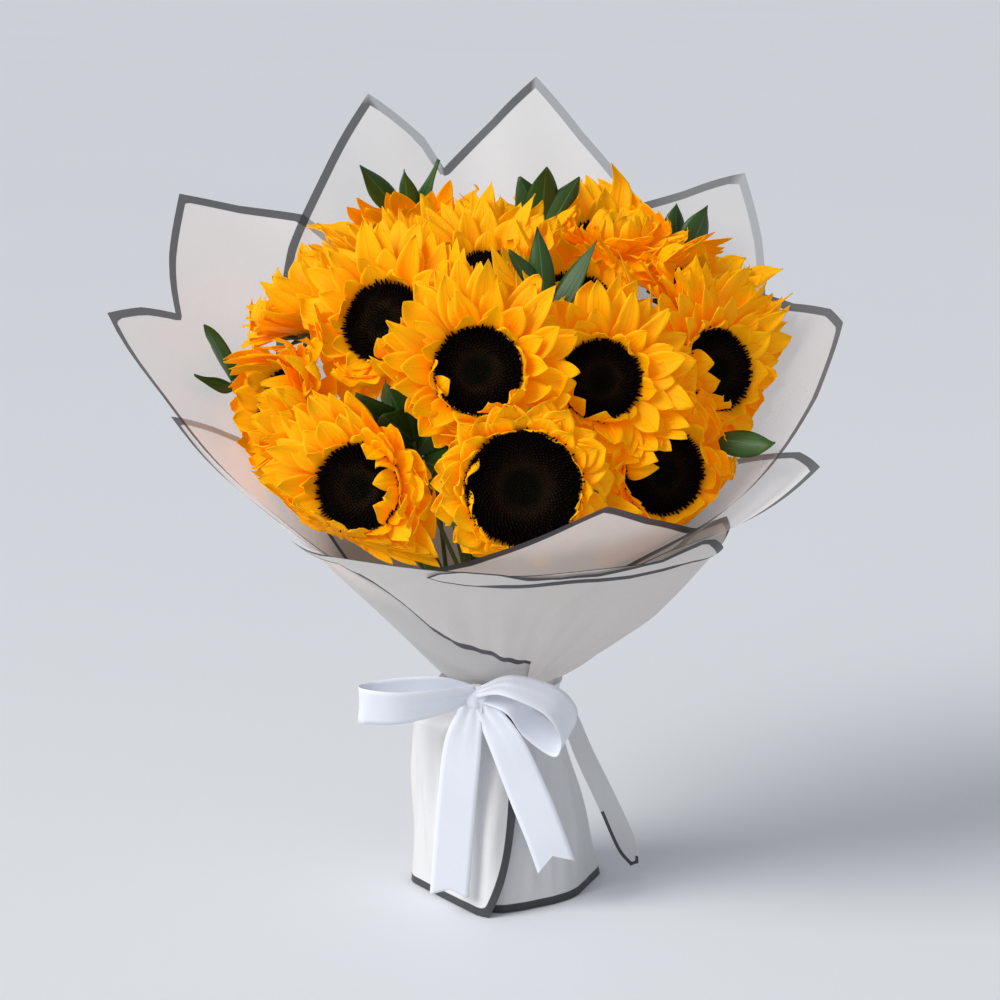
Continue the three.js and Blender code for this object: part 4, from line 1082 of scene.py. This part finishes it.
def film_finish(name, clear, border_clear, dense, folded, thin=(0.98, 0.94, 0.91)):
    """Film whose alpha goes from clear to dense as the layers below it build up. Where it is dense its
    colour is painted greyer, as shade, and its emission is a painted glow for the light that shines
    through it."""
    f = Finish(name, roughness=0.42, specular_ior_level=0.3, emission_strength=1.0)
    shade = f.attribute("shade")
    printed = f.attribute("edge").below(BORDER, 0.3)
    haze = f.attribute("haze")
    cloud = f.noise(f.places(), 14.0, 3.0)
    crease = f.noise(f.places(), 38.0, 4.0, 0.6)
    # Painted shade: where the film is dense its colour turns from the thin colour to the much darker
    # folded grey.
    pale = f.mix(haze, rgb(*thin), rgb(*folded))
    pale = f.mix(cloud * 0.4, pale, rgb(0.58, 0.57, 0.56))
    plain = clear + haze * (dense - clear) + (cloud - 0.5) * 0.08
    # Painted light: the emission is a warm glow off the print, as strong as the sheet's glow attribute.
    f.paint(base_color=f.mix(printed, pale, rgb(0.055, 0.057, 0.062)), roughness=0.36 + cloud * 0.16,
            alpha=plain * (1 - printed) + printed * (border_clear * shade * (1 - haze) + haze * 0.97),
            emission_color=f.mix(f.attribute("glow") * (1 - printed), rgb(0, 0, 0),
                                 rgb(0.20, 0.165, 0.15)))
    f.bump(crease, 2.2, 0.35)
    return f


FILM = film_finish("frosted_film", 0.38, 0.86, 0.94, (0.53, 0.52, 0.51))
# A copy of the film painted darker all over, as shade, for the sheet on the right.
SHADED_FILM = film_finish("frosted_film_far", 0.38, 0.86, 0.94, (0.52, 0.51, 0.50), (0.52, 0.48, 0.46))
SKIRT_FILM = film_finish("frosted_film_folded", 0.93, 1.0, 0.96, (0.79, 0.79, 0.80))

# %% The sheets
FOOT_OF_SHEET = -10.0
# The edge of each sheet as [azimuth, distance up the slope]; layer 0 is the innermost. A pale edge
# is one whose print lies on the film's far side. The dense sheets are folded double, and like the low
# parts of every sheet they are painted greyer, as shade. Glow and lit set the strength of a painted
# glow, for light shining through the film, in a sheet's dense and clear parts. The sheet on the right
# has its film painted darker all over, as shade. A cuff's print is turned under in places, so its
# border has a width of its own at each azimuth.
SHEETS = {
    "back": dict(layer=2.65, pale=[(120, 172), (194, 209)], top=[
        [100, 80], [111, 150], [120, 215], [145, 346], [160, 391], [172, 433], [182, 399], [194, 364],
        [198, 388], [209, 425], [221, 376], [234, 323], [250, 245], [270, 160], [288, 80]]),
    "left": dict(layer=3.85, lit=2.0, top=[
        [-170, 80], [-150, 250], [-132, 344], [-121, 364], [-111, 386], [-103, 350], [-95, 312],
        [-88, 330], [-80, 345], [-71, 288], [-60, 228], [-48, 178], [-32, 120], [-12, 50]]),
    "right": dict(layer=1.25, pale=[(109, 125)], finish=SHADED_FILM, top=[
        [18, 60], [35, 130], [50, 180], [62, 230], [72, 275], [86, 316], [92, 317], [101, 306],
        [109, 303], [116, 340], [125, 382], [136, 359], [147, 339], [166, 255], [190, 110]]),
    "left_front": dict(layer=5.05, thin=1.3, lit=1.2, top=[
        [-124, 80], [-100, 178], [-82, 236], [-68, 276], [-59, 234], [-49, 190], [-38, 160],
        [-24, 130], [-8, 115], [12, 100], [22, 70]]),
    "right_front": dict(layer=4.6, tilt=5.0, thin=1.6, top=[
        [27, 90], [36, 150], [47, 182], [57, 215], [67, 250], [76, 236], [88, 200], [104, 140],
        [122, 70]]),
    "inner_front": dict(layer=0, dense=0.95, glow=1.3, top=[
        [-42, 112], [-24, 140], [-8, 157], [0, 172], [11, 193], [21, 213], [34, 193], [57, 168],
        [66, 140], [76, 100]]),
    "cuff": dict(layer=6.3, loose=5.0, dense=1.0, glow=0.6, top=[
        [-56, 172], [-38, 179], [-26, 178], [-19, 177], [-9, 172], [0, 167], [11, 163], [17, 162],
        [22, 163], [25, 164], [36, 168], [60, 168], [68, 172], [76, 168], [88, 140], [104, 82],
        [112, 60]],
        foot=[[-56, 168], [-38, 168], [-31, 142], [-27, 108], [-23, 78], [-13, 58], [0, 45], [12, 34],
              [17, 36], [22, 2], [25, -10], [112, -10]]),
}
CUFF_PRINT = [[-56, 3.0], [-50, 4.0], [-44, 3.0], [-38, 1.1], [60, 0.9], [70, 5.0], [112, 5.0]]
FOOT_PRINT = [[-56, 2.0], [-38, 1.1], [-36.5, 3.4], [-33.5, 3.0], [-31, 1.3], [-26, 2.2], [-20, 5.4],
              [-5, 5.8], [10, 5.0], [16.5, 4.0], [17, 0.05]]
DENSE_BELOW, CLEAR_ABOVE = 90.0, 190.0  # heights up the slope between which the layers thin out
THIN_BELOW = 200.0                      # the height under which a thin print keeps its own width
ROWS_UP = 58
COLUMN_STEP = 2.0
NO_EDGE = 99.0


def run_out(edge, low=4.0):
    """The edge with both ends carried on down to the tie, as steeply as they last ran."""
    edge = np.array(edge, float)
    first = edge[0] - (edge[1] - edge[0]) * (edge[0, 1] - low) / (edge[1, 1] - edge[0, 1])
    last = edge[-1] + (edge[-1] - edge[-2]) * (edge[-1, 1] - low) / (edge[-2, 1] - edge[-1, 1])
    return np.array([first, *edge, last])


def distance_to_line(points, line, widths=BORDER):
    """For each point, how far the line through the given points is, and its nearest segment. The
    distance is scaled so that a print as wide as given there ends at BORDER."""
    starts, runs = line[:-1], np.diff(line, axis=0)
    span = np.maximum((runs ** 2).sum(1), 1e-9)
    points = points.reshape(-1, 1, 3)
    share = np.clip(((points - starts) * runs).sum(2) / span, 0, 1)
    gaps = np.linalg.norm(points - starts - runs * share[..., None], axis=2)
    nearest = gaps.argmin(1)
    return gaps.min(1) * BORDER / np.broadcast_to(widths, len(line))[nearest], nearest


def film_sheet(name, layer, top, foot=None, tilt=0.0, pale=(), loose=0.0, dense=0.0, thin=None,
               glow=0.25, lit=0.0, finish=FILM):
    edge = run_out(top) if foot is None else np.array(top, float)
    steps = np.arange(math.ceil(edge[0, 0]), edge[-1, 0], COLUMN_STEP)
    azimuths = np.unique(np.concatenate([edge[:, 0], steps]).round(3))
    high = read_off(edge, azimuths)
    low = np.full(len(azimuths), FOOT_OF_SHEET) if foot is None else read_off(foot, azimuths)
    up = low[:, None] + (high - low)[:, None] * np.linspace(0, 1, ROWS_UP)
    inset = layer_inset(layer, up) + slow_wave(azimuths[:, None], up)
    if loose:
        inset -= loose * loose_share(azimuths[:, None], up) + soft_folds(azimuths[:, None], up)
    points = wrap_point(azimuths[:, None], up, inset, tilt)
    if foot is not None:
        width = read_off(CUFF_PRINT, azimuths)
    else:                               # the border fades out where the edge runs down into the tie
        width = BORDER * np.clip((high - 20) / 25, 0.05, 1)
    if thin is not None:
        width = np.where(high < THIN_BELOW, thin, width)
    gap, nearest = distance_to_line(points, points[:, -1], width)
    where = azimuths[nearest]
    shade = np.ones(len(where))
    for start, end in pale:
        shade[(where >= start) & (where < end)] = 0.5
    if foot is not None:
        free = low > FOOT_OF_SHEET + 12
        foot_width = read_off(FOOT_PRINT, azimuths[free])
        gap = np.minimum(gap, distance_to_line(points, points[free, 0], foot_width)[0])
    # Low down the film is dense: it is more opaque, painted greyer as shade, and given the sheet's
    # painted glow.
    haze = np.maximum(dense, 1 - smooth_step(up, DENSE_BELOW, CLEAR_ABOVE))
    sheet = make_grid(f"film_{name}", points, finish, edge=gap, shade=shade, haze=haze,
                      glow=blend_between(lit, glow, haze))
    hand_over(sheet, "film", f"wrap_sheet_{name}")
    return sheet


for name, sheet in SHEETS.items():
    piece = film_sheet(name, **sheet)

# %% [markdown]
# ## The rolled hem
# In front the cuff's edge is turned outwards in a soft roll, which ends in an open curl on the right
# and in a small loop on the left. The roll is a strip between two lines that bulges off the cuff.

# %% Rolled hem
# The roll's upper and lower line as [azimuth, distance up the slope], and how wide their print is.
ROLL_TOP = [[-16, 167], [-13, 173], [-8, 175], [0, 171], [8, 163], [14, 159], [23, 160], [32, 168],
            [37, 174], [40, 186], [43, 197], [46, 197], [50, 189], [55, 178], [60, 169], [63, 162]]
ROLL_FOOT = [[-16, 166], [-13, 160], [-8, 155], [0, 152], [8, 150], [14, 149], [24, 150], [32, 153],
             [40, 160], [47, 168], [53, 169], [58, 166], [63, 161]]
TOP_PRINT = [[-16, 1.6], [0, 1.6], [6, 3.8], [12, 2.2], [20, 3.0], [34, 3.0], [38, 4.0], [42, 5.5],
             [56, 6.0], [63, 3.0]]
ROLL_FOOT_PRINT = [[-16, 1.6], [-6, 1.8], [0, 5.6], [12, 6.0], [32, 4.8], [46, 2.8], [63, 2.0]]
ROLL_OFF = (1.5, 0.5)                   # how far its edges and its middle stand off the cuff


def rolled_hem():
    azimuths = np.linspace(ROLL_TOP[0][0], ROLL_TOP[-1][0], 120)
    top, foot = read_off(ROLL_TOP, azimuths), read_off(ROLL_FOOT, azimuths)
    share = np.linspace(0, 1, 18)
    up = blend_between(foot[:, None], top[:, None], share)
    off = ROLL_OFF[0] + ROLL_OFF[1] * np.sin(math.pi * share) * smooth_step(top - foot, 0, 10)[:, None]
    cuff_off = SHEETS["cuff"]["loose"] * loose_share(azimuths[:, None], up)
    inset = layer_inset(SHEETS["cuff"]["layer"], up) + slow_wave(azimuths[:, None], up) - cuff_off - off
    points = wrap_point(azimuths[:, None], up, inset)
    gaps = [distance_to_line(points, line, read_off(widths, azimuths))[0]
            for line, widths in ((points[:, -1], TOP_PRINT), (points[:, 0], ROLL_FOOT_PRINT))]
    # Painted light: the roll glows like the cuff, and its dense film is painted grey, as shade.
    return make_grid("film_cuff_roll", points, FILM, edge=np.minimum(*gaps), shade=1, haze=1, glow=0.6)


roll_piece = rolled_hem()
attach(roll_piece, "root")

# %% [markdown]
# ## Skirt and tail of the wrap
# Below the ribbon the film puffs out and is rolled round the stems, down to the corners of its foot.
# Its end laps over its start in front, where the border runs up the lap and sweeps to the right.

# %% Skirt
SKIRT_TOP, SKIRT_TOP_R = 141.0, 35.0
SKIRT_FOOT = np.array([[-64, 9], [-8, -76], [14, -66], [52, -30], [74, 32], [22, 72], [-40, 52]], float)
SHOULDER_R, SHOULDER_LEFTWARDS, SHOULDER_BELOW = 47.0, 11.0, 16.0
SKIRT_FALL = 0.7
SKIRT_START, SKIRT_END, SKIRT_LAP, SKIRT_TUCK = -30.0, 354.0, 2.6, 9.0
SWEEP_TURN, SWEEP_OVER = 20.0, 45.0
FOOT_ROUNDING = 4.0
SKIRT_PRINT = 5.6
SKIRT_FOLDS = [(1.3, 5, 0.8, 0.012), (1.1, 13, 2, 0.03), (0.7, 23, 0, -0.05), (0.5, 3, 0, -0.07)]


def foot_side(degrees):
    """How far the side of the foot that lies each way is from the axis."""
    runs = np.roll(SKIRT_FOOT, -1, axis=0) - SKIRT_FOOT
    normals = unit(np.stack([runs[:, 1], -runs[:, 0]], -1))
    facing = outwards(degrees)[..., :2] @ normals.T
    reach = (normals * SKIRT_FOOT).sum(1) / np.maximum(facing, 1e-6)
    return np.where(facing > 0, reach, np.inf).min(-1)


def skirt_point(share, height, depth):
    share, height = np.broadcast_arrays(share, height)
    end = SKIRT_END + SWEEP_TURN * (1 - np.exp(-height / SWEEP_OVER))
    degrees = blend_between(SKIRT_START, end, share)
    turn = np.radians(degrees)
    foot = np.mean([foot_side(degrees + k * FOOT_ROUNDING) for k in (-2, -1, 0, 1, 2)], axis=0)
    shoulder = SHOULDER_R - SHOULDER_LEFTWARDS * np.sin(turn)
    puff = np.sin(np.clip((SKIRT_TOP - height) / SHOULDER_BELOW, 0, 1) * math.pi / 2)
    drop = np.clip(1 - height / (SKIRT_TOP - SHOULDER_BELOW), 0, 1)
    tuck = SKIRT_TUCK * np.clip((40 - degrees) / 40, 0, 1) * drop
    slack = np.sin(math.pi * np.clip(height / SKIRT_TOP, 0, 1)) * puff
    radius = (blend_between(SKIRT_TOP_R, shoulder, puff) + (foot - shoulder) * drop ** SKIRT_FALL
              - tuck + SKIRT_LAP * share + depth + waves(turn, height, SKIRT_FOLDS) * slack)
    point = outwards(degrees) * radius[..., None]
    point[..., 2] = height
    return point


def skirt():
    points = skirt_point(np.linspace(0, 1, 300)[:, None], SKIRT_TOP * np.linspace(0, 1, 56), 0.55)
    rim = np.concatenate([points[0, ::-1], points[:, 0], points[-1]])
    gap = distance_to_line(points, rim, SKIRT_PRINT)[0]
    return make_grid("film_skirt", points, SKIRT_FILM, edge=gap, shade=1, haze=1)


skirt_piece = skirt()
hand_over(skirt_piece, "film", "wrap_skirt")


# %% Strips of ribbon and film
RIBBON_WIDTH = 27.0
STRIP_COLUMNS = 9


def strip(name, line, across, widths, finish, pleat=0.0, notch=0.0, cup=0.0, count=60):
    """A flat strip along a smooth line. Across gives its width's direction, pleat gathers its start,
    and notch cuts its end in a V."""
    middle = smooth_line(line, count)
    width = smooth_line(np.array(widths, float)[:, None], count)
    run = unit(np.gradient(middle, axis=0))
    across = unit(across - run * (across * run).sum(1, keepdims=True))
    face = np.cross(run, across)
    u = np.linspace(-1, 1, STRIP_COLUMNS)
    along = np.linspace(0, 1, count)[:, None]
    lift = np.exp(-along * 9) * pleat * np.sin(u * 2.5 * math.pi) + cup * (u ** 2 - 0.5)
    points = (middle[:, None] + across[:, None] * (u * width / 2)[..., None]
              + face[:, None] * lift[..., None])
    cut = notch * (1 - np.abs(u)) * np.clip((along - 0.8) / 0.2, 0, 1) ** 2
    points -= run[:, None] * cut[..., None]
    length = np.concatenate([[0], np.cumsum(np.linalg.norm(np.diff(middle, axis=0), axis=1))])
    uv = np.stack(np.broadcast_arrays(u * 0.5 + 0.5, length[:, None] / RIBBON_WIDTH), -1)
    rim = np.concatenate([points[:, 0], points[-1], points[::-1, -1]])
    return make_grid(name, points, finish, uv=uv, edge=distance_to_line(points, rim)[0], shade=1, haze=1)


TAIL_LINE = [(41, 12, 137), (50, 13, 118), (60, 14, 92), (77, 17, 55), (91, 20, 22), (97, 21, 7)]
TAIL_WIDTHS = [8, 12, 14, 15, 15, 6]
TAIL_ACROSS = (0.9, -0.1, 0.42)
# The tail's border runs down one side below a height, in metres, and all round its tip.
TAIL_PRINT_TOP, TAIL_TIP_TOP = 0.05, 0.014
TAIL_PRINT_COLUMNS = 5
TAIL_PRINT_NARROWED = 2.6               # how much narrower the border is than on a sheet


def film_tail():
    tail = strip("film_tail", TAIL_LINE, TAIL_ACROSS, TAIL_WIDTHS, SKIRT_FILM, cup=1.0)
    edge = tail.data.attributes["edge"].data
    for index, (vertex, value) in enumerate(zip(tail.data.vertices, edge)):
        on_side = index % STRIP_COLUMNS < TAIL_PRINT_COLUMNS
        printed = vertex.co.z < TAIL_TIP_TOP or vertex.co.z < TAIL_PRINT_TOP and on_side
        value.value = value.value * TAIL_PRINT_NARROWED if printed else NO_EDGE
    return tail


tail_piece = film_tail()
hand_over(tail_piece, "film", "wrap_tail")

# %% [markdown]
# ## Satin ribbon
# The ribbon goes once round the waist and is tied in a bow with two loops and two notched tails.
# Satin has a tight weave with a soft sheen along it, and a firmer woven edge on both sides.


# %% Ribbon finish
def ribbon_finish():
    f = Finish("white_satin", roughness=0.34, sheen_weight=0.35, specular_ior_level=0.5,
               emission_strength=0.1)
    across, along = f.uv()
    threads = (across * 520.0).sine() * 0.5 + 0.5
    weft = (along * 300.0).sine() * 0.5 + 0.5
    selvedge = f.attribute("edge").below(1.1, 0.3)
    cloud = f.noise(f.places(), 30.0)
    tint = f.mix(cloud, rgb(0.70, 0.73, 0.82), rgb(0.78, 0.80, 0.87))
    # Painted light: the satin's tint is also given out as a faint glow, at the emission strength set
    # above.
    f.paint(base_color=f.mix(selvedge * 0.5, tint, rgb(0.82, 0.83, 0.88)), roughness=0.3 + cloud * 0.1,
            emission_color=tint)
    f.bump(threads * 0.4 + weft * 0.25 + selvedge * 0.6, 0.12, 0.6)
    return f


RIBBON = ribbon_finish()

# %% Ribbon
RIBBON_THICK = 0.45
BAND_R, BAND_LEAN = 43.5, 4.0
BAND_FOOT, BAND_HEIGHT = WAIST_Z - 13.5, 10.0
KNOT_AT = np.array([-17.0, -50.0, 150.0])
KNOT_SIZE = (10.5, 8.5, 9.0)
# Each strip's line, the direction of its width, its widths, its pleats and the notch at its end.
RIBBON_STRIPS = {
    "loop_left": ([(-17, -54, 154), (-40, -68, 152), (-68, -77, 150), (-90, -73, 150), (-96, -64, 150),
                   (-88, -55, 151), (-64, -53, 155), (-40, -54, 158), (-17, -50, 155)],
                  (0.05, -0.3, 0.95), [10, 20, 25, 27, 27, 27, 24, 18, 8], 1.6, 0),
    "loop_right": ([(-16, -54, 155), (4, -76, 166), (33, -80, 157), (45, -76, 143), (47, -68, 130),
                    (41, -60, 121), (21, -57, 134), (8, -62, 149), (-14, -51, 151)],
                   (0.42, 0.72, 0.55), [8, 18, 24, 27, 27, 26, 24, 18, 8], 1.6, 0),
    "tail_left": ([(-18, -54, 150), (-25, -64, 124), (-29, -69, 88), (-32, -72, 52), (-35, -73, 15)],
                  (1, -0.05, -0.2), [12, 25, 27, 27, 27], 2.0, 5),
    "tail_right": ([(-15, -54, 150), (3, -65, 124), (19, -69, 88), (31, -71, 58), (39, -71, 35)],
                   (0.92, 0.1, 0.4), [12, 23, 27, 27, 27], 2.0, 9),
}


def ribbon_band():
    """The turn round the waist, softly gathered in lengthways folds."""
    degrees = np.linspace(0, 360, 120, endpoint=False)[:, None]
    share = np.linspace(0, 1, 11)[None, :]
    folds = 0.5 * np.sin(share * 5 * math.pi + 0.6 * np.sin(np.radians(degrees) * 3))
    radius = BAND_R - BAND_LEAN * (1 - share) + folds
    points = outwards(degrees + 0 * share) * radius[..., None]
    points[..., 2] = BAND_FOOT + BAND_HEIGHT * share
    uv = np.stack(np.broadcast_arrays(share, degrees / 36), -1)
    return make_grid("satin_ribbon", points, RIBBON, round_about=True, uv=uv, edge=NO_EDGE)


def ribbon_knot():
    """The knot: a short band folded over the middle of the bow, full and creased lengthways."""
    turn = turns_round(40)[:, None]
    height = np.linspace(-1, 1, 21)[None, :]
    crease = 1 + 0.07 * np.sin(6 * turn + 2.5 * height) + 0.05 * np.sin(11 * turn)
    waist = np.sqrt(1 - (0.92 * height) ** 2) * crease
    points = np.stack(np.broadcast_arrays(np.cos(turn) * waist, np.sin(turn) * waist, height), -1)
    uv = np.stack(np.broadcast_arrays(turn / 6.28, height * 0.5 + 0.5), -1)
    return make_grid("knot", points * KNOT_SIZE + KNOT_AT, RIBBON, capped=True, uv=uv, edge=NO_EDGE)


def satin_ribbon():
    parts = [ribbon_band(), ribbon_knot()]
    for name, (line, across, widths, pleat, notch) in RIBBON_STRIPS.items():
        parts.append(strip(name, line, across, widths, RIBBON, pleat, notch))
    whole = joined(parts)
    thicken(whole, RIBBON_THICK)
    return whole


ribbon_piece = satin_ribbon()
hand_over(ribbon_piece, "ribbon", "ribbon")

# %% [markdown]
# ## The hidden tie
# Under the wrap the stems are bound with twine, wound three times round. A spiral curve in Geometry
# Nodes gives its windings, and a fine noise gives its fibres.


# %% Twine
def twine_finish():
    f = Finish("twine_tan", roughness=0.9, specular_ior_level=0.2)
    fibre = f.noise(f.places(), 700.0, 3.0)
    f.paint(base_color=f.mix(fibre, rgb(0.33, 0.24, 0.12), rgb(0.58, 0.47, 0.28)))
    f.bump(fibre, 0.4)
    return f


def twine_tree():
    n = GeometryRecipe("twine_windings", Turns="Float", Radius="Float", Thickness="Float", Rise="Float",
                       Place="Vector", Material="Material")
    curve = n.node("CurveSpiral", Resolution=48, Rotations=n.given("Turns"),
                   Start_Radius=n.given("Radius"), End_Radius=n.given("Radius"), Height=n.given("Rise"))
    section = n.node("CurvePrimitiveCircle", Resolution=8, Radius=n.given("Thickness"))
    cord = n.node("CurveToMesh", Curve=curve, Profile_Curve=section, Fill_Caps=True)
    n.give_out(n.node("Transform", Geometry=cord, Translation=n.given("Place")))
    return n


TWINE = twine_finish()
TWINE_R = 0.9
TWINE_RISE = 4 * TWINE_R
tie_radius = (tie_high[0] - tie_low[0]) / 2 - 2 * TWINE_R
tie_foot = (tie_low[2] + tie_high[2] - TWINE_RISE) / 2
twine = make_mesh("twine_tie", np.zeros((1, 3)), [], TWINE)
twine_tree().run(twine, Turns=3.0, Radius=tie_radius * MM, Thickness=TWINE_R * MM, Rise=TWINE_RISE * MM,
                 Place=in_metres((0, 0, tie_foot)), Material=TWINE.material)
hand_over(twine, "twine", "inner_tie")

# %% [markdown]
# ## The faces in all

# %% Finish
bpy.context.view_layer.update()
shown = [o for o in bpy.context.scene.objects if o.type == "MESH" and not o.hide_render]
print("faces in all:", sum(len(o.data.polygons) for o in shown))
